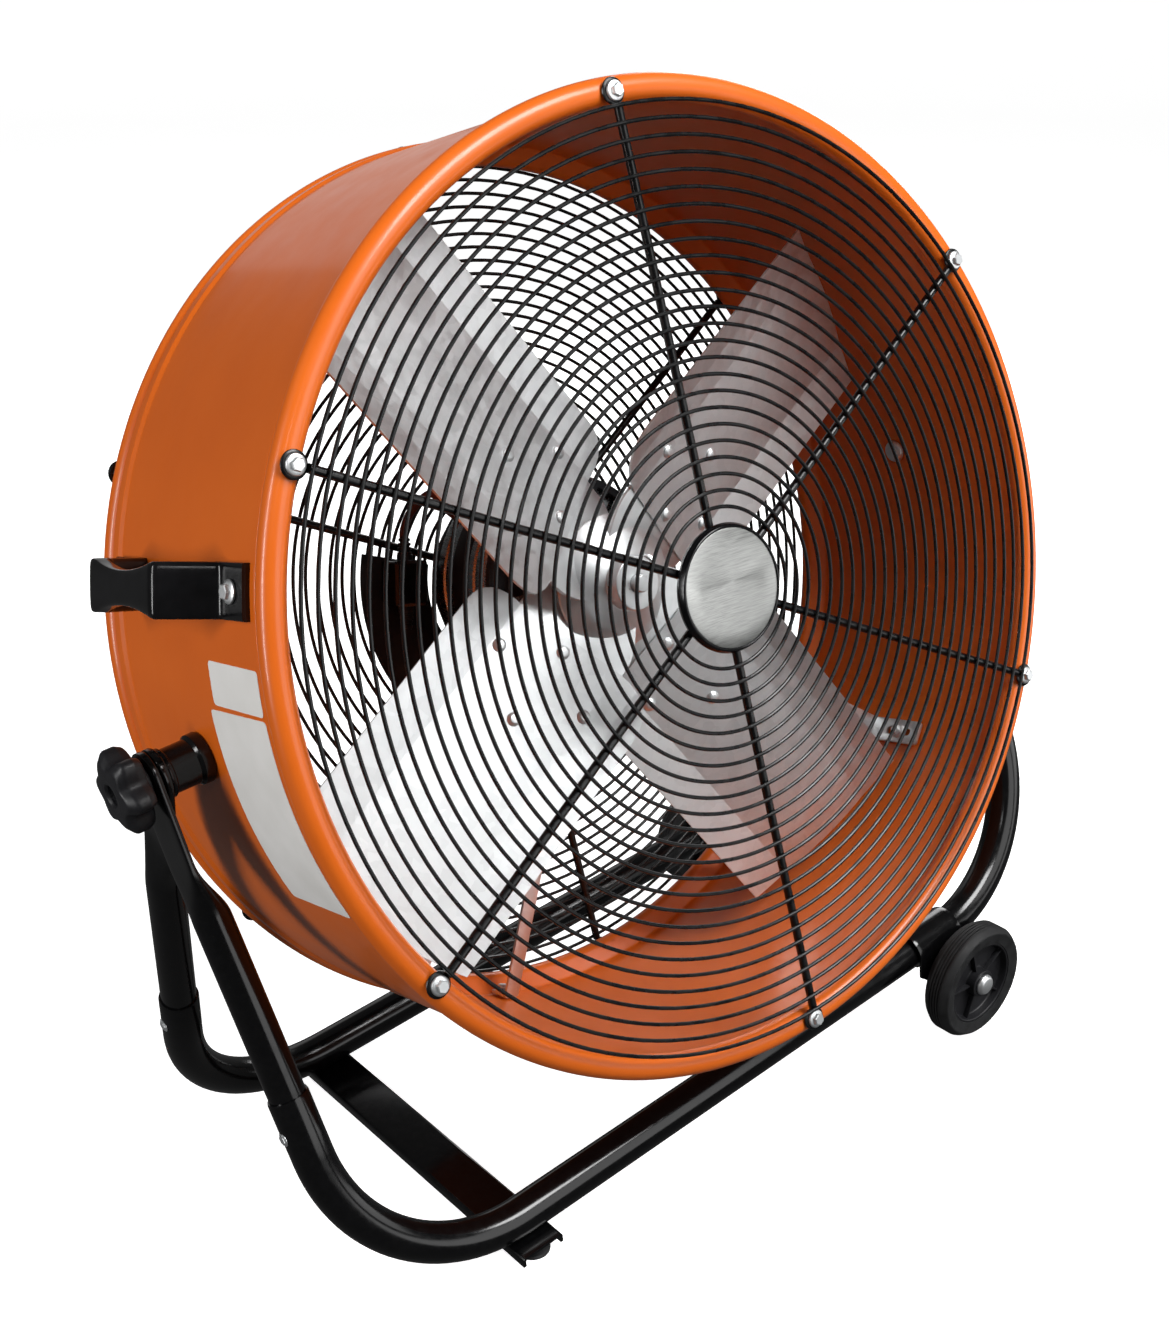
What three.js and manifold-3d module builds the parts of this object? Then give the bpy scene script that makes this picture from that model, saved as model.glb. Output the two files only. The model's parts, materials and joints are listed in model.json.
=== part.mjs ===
// Drum fan on a tube stand with two wheels.
// Millimetres. +X is the fan's right hand side seen from in front, -Y its front, where the air comes out.
import * as THREE from 'three';
import { mergeVertices } from 'three/addons/utils/BufferGeometryUtils.js';
import Module from 'manifold-3d';

const wasm = await Module();
wasm.setup();

// ---- Driving dimensions ----
const seatGap = 0.3; // clearance left between pieces that touch
const boreClearance = 0.7; // radial clearance round a bolt or tube in its hole
const degrees = Math.PI / 180;

// Drum
const skinRadius = 330;
const skinThickness = 1.5;
const frontCrown = -133.6; // Y of the front rim's crown
const rearCrown = 118; // Y of the rear rim's crown
const frontRim = { outer: skinRadius + 6.7, inner: skinRadius - 12, depth: 17.2 };
const rearRim = { outer: skinRadius + 3.4, inner: skinRadius - 16, depth: 16.8 };
const beadStepWidth = 12; // raised band beside the rear rim
const beadStepHeight = 2;
const drumSides = 38;
const tiltUp = 14.5; // degrees that the drum looks up at rest

// Wire guards
const boltCircle = skinRadius - 4.4;
const spokeCount = 6;
const spokePhase = 28.2; // degrees of the first spoke from +X towards +Z
const spokeRadius = 3;
const ringWire = 2.7;
const firstRing = 54.4;
const ringField = skinRadius - 13.52 - firstRing; // from the first ring to the last
const frontRings = { count: 25, pitch: ringField / 24 };
const rearRings = { count: 27, pitch: ringField / 26 };
const eyeRadius = 8;
const eyeThickness = 2.4;
const wireSink = 0.5; // depth that a ring is welded into a spoke
const coarseRing = 200; // smaller rings have fewer sides
const centrePlateRadius = 40;
const centrePlateThickness = 2.4;
const badgeRadius = 44;
const badgeHeight = 7;

// Guard bolts
const boltRadius = 3;
const boltHeadRadius = 6.6;
const boltHeadHeight = 5;
const boltReach = 12;

// Fan
const bladeCount = 4;
const bladePhase = 28.1; // degrees of the first blade from +X towards +Z
const bladePitch = 18.3;
const bladePlane = -19; // Y of the blades' middle on the axis
const bladeTip = skinRadius - 27;
const bladeHalfWidth = 79;
const bladeRoot = 52;
const bladeSheet = 1.6;
const creaseRear = 46; // distance of the creases from the blade's centre line
const creaseFront = 42;
const bladeCamber = 6; // rise of both long edges towards the front
const armSheet = 3;
const armReach = 148;
const armHalfWidth = 54;
const hubRadius = 50;
const hubDome = 15;
const barrelRadius = 20;
const barrelFront = 27;
const barrelRear = 16;
const setBoltRadius = 4;

// Motor
const motorRadius = 80;
const motorSides = 20;
const motorFront = 34; // Y of the ends of the motor's can
const motorRear = 98;
const bellDepth = 14;
const bellNose = 26;
const shaftRadius = 6.35;
const shaftFront = -52;
const bellSlots = 8;

// Motor cradles
// A saddle lies at Y = plane, and its legs reach the wall drift further back, with a foot of that length.
const cradleStrap = 3;
const frontCradle = { plane: motorFront + 6, drift: -34, near: 48, far: 48, width: 20, foot: -50, slot: 26 };
const rearCradle = { plane: motorFront + 14, drift: 28, near: 12, far: 23, width: 12, foot: 20, slot: 7 };
const saddleHalfAngle = 60;
const saddleWidth = 13;
const saddleSteps = 8;
const cradleSlotWidth = 6.5;

// Switch and lead
const plateInner = 73;
const plateOuter = 131;
const plateHalfAngle = 25;
const plateThickness = 2.5;
const switchAngle = spokePhase + 135; // degrees from +X towards +Z
const switchBody = { width: 28, height: 34, depth: 22 };
const switchStem = 3;
const switchKnobRadius = 15;
const switchKnobLength = 15;
const glandRadius = 6;
const glandLength = 18;
const leadRadius = 3.2;
const leadLoop = 28; // distance of the lead's loop from the motor's can
const leadEntry = 36; // degrees from +X where the lead enters the can

// Carrying handle
const handleAngle = (2 * 360) / drumSides; // above the pivot line, on a flat of the drum's skin
const handleMiddle = -9; // Y of its middle
const handleHalfLength = 95;
const handleRise = 42;
const handleThickness = 11;
const handleHalfWidth = 17;
const handleWaist = 11;
const padLength = 30;
const padThickness = 6;
const gripHalfLength = 48; // half of the straight grip between its two legs
const gripBend = 7; // size of the bends at the grip's ends

// Stand
const pivotHalfSpan = skinRadius + 36; // X of the plane between the two flattened tube ends
const frameHalfSpan = pivotHalfSpan - 15.25; // X where a leg's line meets the floor tube's line
const frameSplay = 130; // Y from the pivot to a floor tube
const frameDrop = skinRadius + 45.1; // Z from the pivot down to a floor tube
const bendRadius = 127.3;
const bendSteps = 6;
const tubeSides = 10;
const legRadius = 12.7;
const sleeveRadius = 14.6;
const sleeveLength = 41.7; // straight stretch of a floor tube above its bend
const legInsert = 45;
const flatHalfWidth = 18.5;
const flatThickness = 5;
const flatEnd = 56; // distance from the pivot where the flattened stretch ends
const roundStart = 100;

// Pivot clamps
const pivotBolt = 4.8;
const spacerRadius = 17;
const knobRadius = 24;
const knobLobe = 4;
const knobLobes = 6;
const knobThickness = 20;
const knobNeck = 3;
const knobNeckRadius = 14;

// Foot channel and rubber feet
const channelMiddle = 138 - pivotHalfSpan;
const channelWidth = 36;
const channelFlange = 8;
const channelSheet = 2.5;
const channelHalfLength = frameSplay + 22;
const footOffset = frameSplay + 8;
const footRadius = 13;
const footDrop = frameDrop + 26.9; // Z from the pivot down to the middle of a sole

// Wheels
const wheelX = pivotHalfSpan - 140;
const axleDrop = 29.9; // Z from a floor tube down to the axle
const wheelDrop = frameDrop + axleDrop;
const wheelPlane = frameSplay + 37;
const wheelRadius = 50;
const tyreWidth = 25;
const tyreInner = 36;
const hubWidth = 20;
const wheelSides = 18;
const axleRadius = 5;
const axleBoss = 12;
const hubRibs = 5;
const capRadius = 9;
const capHeight = 6;
const bracketSheet = 3;
const bracketLeft = wheelX - 42;
const bracketRight = wheelX + 10;
const bracketEar = 15;
const hoopSegments = 5;

// ---- Materials ----
function paint(colour, roughness, metalness) {
  return new THREE.MeshStandardMaterial({ color: colour, roughness, metalness });
}
const orangePaint = paint('#d8601a', 0.3, 0.1);
const blackEnamel = paint('#141415', 0.3, 0.1);
const blackWire = paint('#17181a', 0.4, 0.2);
const galvanised = paint('#a9acad', 0.4, 0.9);
const zincPlate = paint('#b9bec2', 0.3, 0.95);
const castGrey = paint('#6f7274', 0.5, 0.6);
const blackPlastic = paint('#1c1c1e', 0.55, 0);
const blackRubber = paint('#1a1a1b', 0.85, 0);
const brushedFace = paint('#b5b6b3', 0.35, 0.8);
const brownLead = paint('#4a2a1c', 0.6, 0);

// ---- Geometry helpers ----
function volumeOf(positions, corners) {
  const points = [new THREE.Vector3(), new THREE.Vector3(), new THREE.Vector3()];
  let volume = 0;
  for (let i = 0; i < corners.length; i += 3) {
    points.forEach((point, k) => point.fromBufferAttribute(positions, corners[i + k]));
    volume += points[0].dot(points[1].cross(points[2])) / 6;
  }
  return volume;
}

// Shares equal corners, drops faces without area and turns the faces outward.
function closed(geometry) {
  const bare = new THREE.BufferGeometry();
  bare.setAttribute('position', geometry.getAttribute('position'));
  bare.setIndex(geometry.getIndex());
  const shared = mergeVertices(bare, 1e-4);
  const corners = shared.getIndex().array;
  const kept = [];
  for (let i = 0; i < corners.length; i += 3) {
    const [a, b, c] = corners.slice(i, i + 3);
    if (a !== b && b !== c && c !== a) {
      kept.push(a, b, c);
    }
  }
  if (volumeOf(shared.getAttribute('position'), kept) < 0) {
    kept.reverse();
  }
  shared.setIndex(kept);
  shared.computeVertexNormals();
  return shared;
}

function solidOf(geometry) {
  const shell = closed(geometry);
  const vertProperties = new Float32Array(shell.getAttribute('position').array);
  const triVerts = new Uint32Array(shell.getIndex().array);
  return new wasm.Manifold(new wasm.Mesh({ numProp: 3, vertProperties, triVerts }));
}

function geometryOf(solid) {
  const mesh = solid.getMesh();
  const geometry = new THREE.BufferGeometry();
  geometry.setAttribute('position', new THREE.BufferAttribute(mesh.vertProperties, 3));
  geometry.setIndex(new THREE.BufferAttribute(mesh.triVerts, 1));
  geometry.computeVertexNormals();
  return geometry;
}

function join(...geometries) {
  return geometryOf(geometries.map(solidOf).reduce((sum, next) => sum.add(next)));
}

function cut(geometry, ...tools) {
  return geometryOf(tools.map(solidOf).reduce((rest, tool) => rest.subtract(tool), solidOf(geometry)));
}

function common(first, second) {
  return geometryOf(solidOf(first).intersect(solidOf(second)));
}

// A closed profile of [radius, y] points turned about the Y axis.
function revolve(profile, sides, phase = 0) {
  const points = profile.map(([radius, y]) => new THREE.Vector2(radius, y));
  if (!points[0].equals(points[points.length - 1]) && points[0].x > 0) {
    points.push(points[0].clone());
  }
  return closed(new THREE.LatheGeometry(points, sides, phase));
}

const alongAxis = {
  x: (geometry) => geometry.rotateZ(-Math.PI / 2),
  y: (geometry) => geometry,
  z: (geometry) => geometry.rotateX(Math.PI / 2),
};

// A round bar from start to end along one axis.
function rod(axis, radius, start, end, sides) {
  const bar = new THREE.CylinderGeometry(radius, radius, end - start, sides);
  bar.translate(0, (start + end) / 2, 0);
  return closed(alongAxis[axis](bar));
}

// An outline extruded from start to end. Along Y the outline lies in XZ, along X in YZ.
function prism(axis, outline, start, end, curveSegments = 4) {
  const body = new THREE.ExtrudeGeometry(outline, { depth: end - start, bevelEnabled: false, curveSegments });
  if (axis === 'x') {
    const turned = new THREE.Matrix4().makeBasis(
      new THREE.Vector3(0, 1, 0),
      new THREE.Vector3(0, 0, 1),
      new THREE.Vector3(1, 0, 0),
    );
    body.applyMatrix4(turned).translate(start, 0, 0);
  } else if (axis === 'y') {
    body.rotateX(Math.PI / 2).translate(0, end, 0);
  } else {
    body.translate(0, 0, start);
  }
  return closed(body);
}

function outlineOf(points) {
  return new THREE.Shape(points.map(([x, y]) => new THREE.Vector2(x, y)));
}

function circle(radius, x = 0, y = 0) {
  return new THREE.Shape().absarc(x, y, radius, 0, 2 * Math.PI, false);
}

// A skin over rings that all have the same number of points.
function loft(rings) {
  const around = rings[0].length;
  const positions = rings.flat().flatMap((point) => [point.x, point.y, point.z]);
  const corners = [];
  for (let ring = 0; ring + 1 < rings.length; ring += 1) {
    for (let k = 0; k < around; k += 1) {
      const here = ring * around + k;
      const beside = ring * around + ((k + 1) % around);
      corners.push(here, beside, here + around, beside, beside + around, here + around);
    }
  }
  const last = (rings.length - 1) * around;
  for (let k = 1; k + 1 < around; k += 1) {
    corners.push(0, k + 1, k, last, last + k, last + k + 1);
  }
  const geometry = new THREE.BufferGeometry();
  geometry.setAttribute('position', new THREE.Float32BufferAttribute(positions, 3));
  geometry.setIndex(corners);
  return closed(geometry);
}

// A route through fixed stations, for a tube that is extruded along it.
class Route extends THREE.Curve {
  constructor(stations) {
    super();
    this.stations = stations;
  }

  getPoint(t) {
    const place = t * (this.stations.length - 1);
    const index = Math.min(Math.floor(place), this.stations.length - 2);
    return this.stations[index].clone().lerp(this.stations[index + 1], place - index);
  }

  getSpacedPoints() {
    return this.stations;
  }

  getTangentAt(t) {
    const index = Math.round(t * (this.stations.length - 1));
    const direction = new THREE.Vector3();
    if (index > 0) {
      direction.add(this.stations[index].clone().sub(this.stations[index - 1]).normalize());
    }
    if (index + 1 < this.stations.length) {
      direction.add(this.stations[index + 1].clone().sub(this.stations[index]).normalize());
    }
    return direction.normalize();
  }
}

function tube(stations, radius, sides) {
  const settings = { extrudePath: new Route(stations), steps: stations.length - 1, curveSegments: sides / 2 };
  return closed(new THREE.ExtrudeGeometry(circle(radius), settings));
}

function addPiece(parent, name, geometry, material) {
  const mesh = new THREE.Mesh(geometry, material);
  mesh.name = name;
  parent.add(mesh);
  return mesh;
}

// ---- Drum ----
const drumInside = (skinRadius - skinThickness) * Math.cos(Math.PI / drumSides);
const drumOutside = skinRadius * Math.cos(Math.PI / drumSides);

// Points round a rolled rim, from its outer flank over the crown to its inner flank.
function rolledRim(rim, crown, side) {
  const middleRadius = (rim.outer + rim.inner) / 2;
  const halfWidth = (rim.outer - rim.inner) / 2;
  const halfDepth = rim.depth / 2;
  const points = [];
  for (const turn of [-45, 0, 60, 120, 180, 225]) {
    const radius = middleRadius + halfWidth * Math.cos(turn * degrees);
    const y = crown - side * halfDepth + side * halfDepth * Math.sin(turn * degrees);
    points.push([radius, y]);
  }
  return points;
}

function guardBoltHoles(crown, side) {
  const holes = [];
  for (let k = 0; k < spokeCount; k += 1) {
    const ends = [crown + side, crown - side * (boltReach + 1)].sort((a, b) => a - b);
    const hole = rod('y', boltRadius + boreClearance, ends[0], ends[1], 6);
    holes.push(hole.translate(boltCircle, 0, 0).rotateY(-(spokePhase + 60 * k) * degrees));
  }
  return holes;
}

function drumShell() {
  const front = rolledRim(frontRim, frontCrown, -1);
  const rear = rolledRim(rearRim, rearCrown, 1).reverse();
  const rearFlank = rearCrown - rearRim.depth;
  const innerRadius = skinRadius - skinThickness;
  const profile = [
    ...front,
    [innerRadius, frontCrown + frontRim.depth + skinThickness],
    [innerRadius, rearFlank - skinThickness],
    ...rear,
    [skinRadius + beadStepHeight, rearFlank],
    [skinRadius + beadStepHeight, rearFlank - beadStepWidth],
    [skinRadius, rearFlank - beadStepWidth - beadStepHeight],
    [skinRadius, frontCrown + frontRim.depth + 3 * skinThickness],
  ];
  const shell = revolve(profile, drumSides);
  const pivotHole = rod('x', pivotBolt + boreClearance, -frontRim.outer, frontRim.outer, 8);
  return cut(shell, pivotHole, ...guardBoltHoles(frontCrown, -1), ...guardBoltHoles(rearCrown, 1));
}

// ---- Guards: welded wire rings on six spokes, in a frame whose Y = 0 is the rim's crown ----
const spokeAxis = -(seatGap + spokeRadius); // Y of the spokes' middle
const ringSeat = spokeAxis - spokeRadius + wireSink;
const plateFront = spokeAxis - spokeRadius - centrePlateThickness / 2;

function guardRing(radius) {
  const sides = radius < coarseRing ? 12 : 18;
  const section = [
    [radius, ringSeat],
    [radius - ringWire / 2, ringSeat - ringWire],
    [radius + ringWire / 2, ringSeat - ringWire],
  ];
  return revolve(section, sides, Math.PI / 2 + Math.PI / sides);
}

function guardSpoke(angle) {
  const bar = rod('x', spokeRadius, centrePlateRadius / 2, boltCircle - eyeRadius + 1, 4);
  bar.translate(0, spokeAxis, 0);
  const eye = circle(eyeRadius, boltCircle, 0);
  eye.holes.push(circle(boltRadius + boreClearance, boltCircle, 0));
  const pad = prism('y', eye, -seatGap - eyeThickness, -seatGap, 3);
  return join(bar, pad).rotateY(-angle * degrees);
}

function wireGuard({ count, pitch }) {
  const centrePlate = rod('y', centrePlateRadius, plateFront, plateFront + centrePlateThickness, 12);
  const rings = [];
  for (let k = 0; k < count; k += 1) {
    rings.push(guardRing(firstRing + k * pitch));
  }
  const spokes = [];
  for (let k = 0; k < spokeCount; k += 1) {
    spokes.push(guardSpoke((360 / spokeCount) * k));
  }
  return join(centrePlate, ...spokes, ...rings);
}

function guardBolt() {
  const head = -seatGap - eyeThickness - seatGap;
  const profile = [
    [0, boltReach],
    [boltRadius, boltReach],
    [boltRadius, head],
    [boltHeadRadius, head],
    [boltHeadRadius, head - boltHeadHeight],
    [0, head - boltHeadHeight],
  ];
  return revolve(profile, 6);
}

function guardBadge() {
  const back = plateFront - seatGap;
  const profile = [
    [0, back],
    [badgeRadius, back],
    [badgeRadius, back - badgeHeight / 2],
    [badgeRadius * 0.93, back - badgeHeight],
    [badgeRadius * 0.86, back - badgeHeight * 0.8],
    [0, back - badgeHeight],
  ];
  return revolve(profile, 18);
}

function addGuard(drum, label, crown, turn, rings) {
  const guard = new THREE.Group();
  guard.position.y = crown;
  guard.rotation.set(0, -spokePhase * degrees, turn, 'YXZ');
  drum.add(guard);
  addPiece(guard, `${label}_guard`, wireGuard(rings), blackWire);
  const bolt = guardBolt();
  for (let k = 0; k < spokeCount; k += 1) {
    const place = new THREE.Group();
    place.rotation.y = -(360 / spokeCount) * k * degrees;
    guard.add(place);
    addPiece(place, `${label}_guard_bolt_${k + 1}`, bolt, zincPlate).position.x = boltCircle;
  }
  return guard;
}

// ---- Fan: four creased sheet paddles riveted to a domed spider ----
// A blade's frame has X out from the axis, Z along its chord and -Y towards the front.
function bladeOutline() {
  const corner = Math.sqrt(bladeTip ** 2 - bladeHalfWidth ** 2);
  const tipAngle = Math.atan2(bladeHalfWidth, corner);
  const rootRound = bladeHalfWidth * 0.45;
  const outline = new THREE.Shape();
  const start = bladeRoot + rootRound;
  outline.moveTo(start, -bladeHalfWidth);
  outline.absarc(0, 0, bladeTip, -tipAngle, tipAngle, false);
  outline.lineTo(start, bladeHalfWidth);
  outline.quadraticCurveTo(bladeRoot, bladeHalfWidth, bladeRoot, bladeHalfWidth - rootRound);
  outline.lineTo(bladeRoot + rootRound / 4, -bladeHalfWidth + rootRound);
  outline.quadraticCurveTo(bladeRoot + rootRound / 4, -bladeHalfWidth, start, -bladeHalfWidth);
  return outline;
}

function fanBlade() {
  const chord = [
    [-bladeHalfWidth, -bladeCamber],
    [-creaseRear, 0],
    [creaseFront, 0],
    [(creaseFront + bladeHalfWidth) / 2, -bladeCamber * 0.3],
    [bladeHalfWidth, -bladeCamber],
  ];
  const front = chord.map(([z, y]) => [y - bladeSheet / 2, z]);
  const back = chord.map(([z, y]) => [y + bladeSheet / 2, z]).reverse();
  const strip = prism('x', outlineOf([...front, ...back]), bladeRoot / 2, bladeTip * 1.1);
  const stamp = prism('y', bladeOutline(), -2 * bladeCamber, 2 * bladeCamber, 3);
  return common(strip, stamp);
}

const armFace = bladeSheet / 2 + seatGap; // Y of an arm's front face in the blade's frame

function spiderArm() {
  const outline = new THREE.Shape();
  outline.moveTo(0, -barrelRadius);
  outline.quadraticCurveTo(hubRadius * 0.6, -armHalfWidth * 0.9, hubRadius, -armHalfWidth * 0.85);
  outline.quadraticCurveTo(armReach * 0.72, -armHalfWidth, armReach * 0.9, -barrelRadius);
  outline.quadraticCurveTo(armReach, 0, armReach * 0.9, barrelRadius);
  outline.quadraticCurveTo(armReach * 0.72, armHalfWidth, hubRadius, armHalfWidth * 0.85);
  outline.quadraticCurveTo(hubRadius * 0.6, armHalfWidth * 0.9, 0, barrelRadius);
  return prism('y', outline, armFace, armFace + armSheet, 2);
}

function fanSpider() {
  const dome = revolve([
    [shaftRadius, -hubDome + armSheet],
    [barrelRadius, -hubDome],
    [hubRadius * 0.75, -hubDome * 0.55],
    [hubRadius, armFace],
    [hubRadius, armFace + armSheet],
    [shaftRadius, -hubDome + 2 * armSheet],
  ], 16);
  const barrel = rod('y', barrelRadius, -barrelFront, barrelRear, 12);
  const arms = [];
  for (let k = 0; k < bladeCount; k += 1) {
    arms.push(spiderArm().rotateX(bladePitch * degrees).rotateY(-(360 / bladeCount) * k * degrees));
  }
  const bore = rod('y', shaftRadius + boreClearance, -barrelFront - 1, barrelRear + 1, 8);
  const setHole = rod('x', setBoltRadius + boreClearance, 0, barrelRadius + 1, 6);
  return cut(join(dome, barrel, ...arms), bore, setHole.translate(0, setBoltPlane, 0));
}

const setBoltPlane = -(barrelFront + hubDome) / 2;

function hubSetBolt() {
  const start = shaftRadius + seatGap;
  const head = barrelRadius + seatGap;
  const shank = rod('x', setBoltRadius, start, head + 1, 6);
  const cap = rod('x', setBoltRadius * 1.7, head, head + setBoltRadius, 6);
  return join(shank, cap).translate(0, setBoltPlane, 0);
}

function addFan(drum) {
  const fan = new THREE.Group();
  fan.position.y = bladePlane;
  fan.rotation.y = -bladePhase * degrees;
  drum.add(fan);
  addPiece(fan, 'fan_spider', fanSpider(), zincPlate);
  addPiece(fan, 'hub_set_bolt', hubSetBolt(), zincPlate);
  const sheet = fanBlade();
  for (let k = 0; k < bladeCount; k += 1) {
    const blade = addPiece(fan, `fan_blade_${k + 1}`, sheet, galvanised);
    blade.rotation.set(bladePitch * degrees, -(360 / bladeCount) * k * degrees, 0, 'YXZ');
  }
}

// ---- Motor ----
function motorCan() {
  const wall = motorRadius - 4;
  return revolve([
    [0, motorFront],
    [wall, motorFront],
    [motorRadius, motorFront + 4],
    [motorRadius, motorRear - 4],
    [wall, motorRear],
    [0, motorRear],
  ], motorSides);
}

// A bearing bell with its flange at Y = 0 and its nose towards -Y.
function motorBell(noseRadius, bore) {
  const rimRadius = motorRadius - 2;
  const bell = revolve([
    [0, 0],
    [rimRadius, 0],
    [rimRadius, -bellDepth * 0.35],
    [motorRadius * 0.7, -bellDepth * 0.7],
    [noseRadius, -bellDepth * 0.8],
    [noseRadius * 0.85, -bellDepth],
    [0, -bellDepth],
  ], motorSides);
  const slots = [];
  for (let k = 0; k < bellSlots; k += 1) {
    const start = noseRadius + 8;
    const end = rimRadius - 12;
    const slot = outlineOf([[start, -4], [end, -9], [end, 9], [start, 4]]);
    slots.push(prism('y', slot, -2 * bellDepth, -bellDepth * 0.5).rotateY((360 / bellSlots) * k * degrees));
  }
  if (bore) {
    slots.push(rod('y', shaftRadius + boreClearance, -bellDepth - 1, -1, 8));
  }
  return cut(bell, ...slots);
}

function addMotor(drum) {
  addPiece(drum, 'motor_can', motorCan(), castGrey);
  const front = addPiece(drum, 'motor_front_bell', motorBell(bellNose, true), castGrey);
  front.position.y = motorFront - seatGap;
  const rear = addPiece(drum, 'motor_rear_bell', motorBell(bellNose, false), castGrey);
  rear.position.y = motorRear + seatGap;
  rear.rotation.z = Math.PI;
  const shaftEnd = motorFront - seatGap - 2;
  const shaft = revolve([
    [0, shaftFront],
    [shaftRadius - 1, shaftFront],
    [shaftRadius, shaftFront + 1],
    [shaftRadius, shaftEnd],
    [0, shaftEnd],
  ], 8);
  addPiece(drum, 'motor_shaft', shaft, zincPlate);
}

// ---- Motor cradles: a saddle under the can, two legs and two slotted feet on the drum's wall ----
function strapRing(radius, angle, y, width) {
  const outward = new THREE.Vector3(Math.cos(angle * degrees), 0, Math.sin(angle * degrees));
  const sideways = new THREE.Vector3(-outward.z, 0, outward.x);
  const corners = [[-1, 0], [1, 0], [1, 1], [-1, 1]];
  return corners.map(([across, deep]) => {
    const point = outward.clone().multiplyScalar(radius).addScaledVector(sideways, (across * width) / 2);
    point.y = y + deep * cradleStrap;
    return point;
  });
}

function cradleLeg(cradle, side) {
  const { plane, drift, near, far, width, foot, slot } = cradle;
  const wall = Math.sqrt((drumInside - seatGap) ** 2 - (width / 2) ** 2);
  const root = plane + drift;
  const angle = -90 + side * far;
  const saddleMiddle = motorRadius + saddleWidth / 2;
  const leg = loft([
    strapRing(saddleMiddle, -90 + side * near, plane, width),
    strapRing(wall - 1, angle, root, width),
  ]);
  const start = Math.min(root, root + foot);
  const end = Math.max(root, root + foot) + (foot < 0 ? cradleStrap : 0);
  const sole = outlineOf([
    [start, -width / 2],
    [end, -width / 2],
    [end, width / 2],
    [start, width / 2],
  ]);
  const slotMiddle = root + foot / 2 + Math.sign(foot) * cradleStrap;
  sole.holes.push(outlineOf([
    [slotMiddle - slot / 2, -cradleSlotWidth / 2],
    [slotMiddle + slot / 2, -cradleSlotWidth / 2],
    [slotMiddle + slot / 2, cradleSlotWidth / 2],
    [slotMiddle - slot / 2, cradleSlotWidth / 2],
  ]));
  return join(leg, prism('x', sole, wall - cradleStrap, wall).rotateY(-angle * degrees));
}

function motorCradle(cradle) {
  const start = (-90 - saddleHalfAngle) * degrees;
  const end = (-90 + saddleHalfAngle) * degrees;
  const inner = (motorRadius + seatGap) / Math.cos((saddleHalfAngle / saddleSteps) * degrees);
  const saddle = new THREE.Shape();
  saddle.absarc(0, 0, inner + saddleWidth, start, end, false);
  saddle.absarc(0, 0, inner, end, start, true);
  const band = prism('y', saddle, cradle.plane, cradle.plane + cradleStrap, saddleSteps / 2);
  return join(band, cradleLeg(cradle, -1), cradleLeg(cradle, 1));
}

// ---- Switch on the rear guard, and the motor's lead ----
const rearPlatePlane = rearCrown - ringSeat - seatGap; // Y of the switch plate's rear face
const switchCircle = firstRing + 4.5 * rearRings.pitch; // the stem passes between two rings

function switchPlate() {
  const start = -plateHalfAngle * degrees;
  const outline = new THREE.Shape();
  outline.absarc(0, 0, plateOuter, start, -start, false);
  outline.absarc(0, 0, plateInner, -start, start, true);
  const stemAngle = (switchAngle - plateAngle) * degrees;
  const stemX = switchCircle * Math.cos(stemAngle);
  const stemZ = switchCircle * Math.sin(stemAngle);
  outline.holes.push(circle(switchStem + boreClearance, stemX, stemZ));
  return prism('y', outline, rearPlatePlane - plateThickness, rearPlatePlane);
}

const plateAngle = spokePhase + 150; // midway between two spokes

// The switch's frame has X out from the fan's axis and Y = 0 on the plate's inner face.
function switchCase() {
  const { width, height, depth } = switchBody;
  const box = new THREE.BoxGeometry(width, depth, height);
  box.translate(0, -depth / 2 - seatGap, 0);
  const stemBore = rod('y', switchStem + boreClearance, -depth / 2, 1, 8);
  const glandDepth = height / 2 - glandLength / 3 - 1;
  const glandBores = [-1, 1].map((end) => {
    const bore = rod('z', glandRadius / 2 + boreClearance, glandDepth, height, 8);
    return bore.rotateY(end < 0 ? Math.PI : 0).translate(0, -depth / 2 - seatGap, 0);
  });
  return cut(box, stemBore, ...glandBores);
}

// A strain relief on the end of the switch's case, upwards or, turned round, downwards.
function cordGland(end) {
  const { height, depth } = switchBody;
  const face = height / 2 + seatGap;
  const collar = rod('z', glandRadius, face, face + glandLength, 10);
  const stem = rod('z', glandRadius / 2, face - glandLength / 3, face + glandLength / 2, 8);
  const mouth = rod('z', leadRadius + boreClearance, face + glandLength / 2, face + glandLength + 1, 8);
  const gland = cut(join(collar, stem), mouth);
  return gland.rotateY(end < 0 ? Math.PI : 0).translate(0, -depth / 2 - seatGap, 0);
}

function switchKnob() {
  const depth = switchBody.depth;
  const base = plateThickness + ringWire + spokeRadius + seatGap;
  const stem = rod('y', switchStem, -depth / 3, base + 1, 8);
  const cap = rod('y', switchKnobRadius, base, base + switchKnobLength / 3, 16);
  const gripShape = outlineOf([
    [-switchKnobRadius, 0],
    [0, -switchKnobRadius / 3],
    [switchKnobRadius, -switchKnobRadius / 4],
    [switchKnobRadius, switchKnobRadius / 4],
    [0, switchKnobRadius / 3],
  ]);
  const grip = prism('y', gripShape, base + 1, base + switchKnobLength);
  return join(stem, cap, grip);
}

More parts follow.
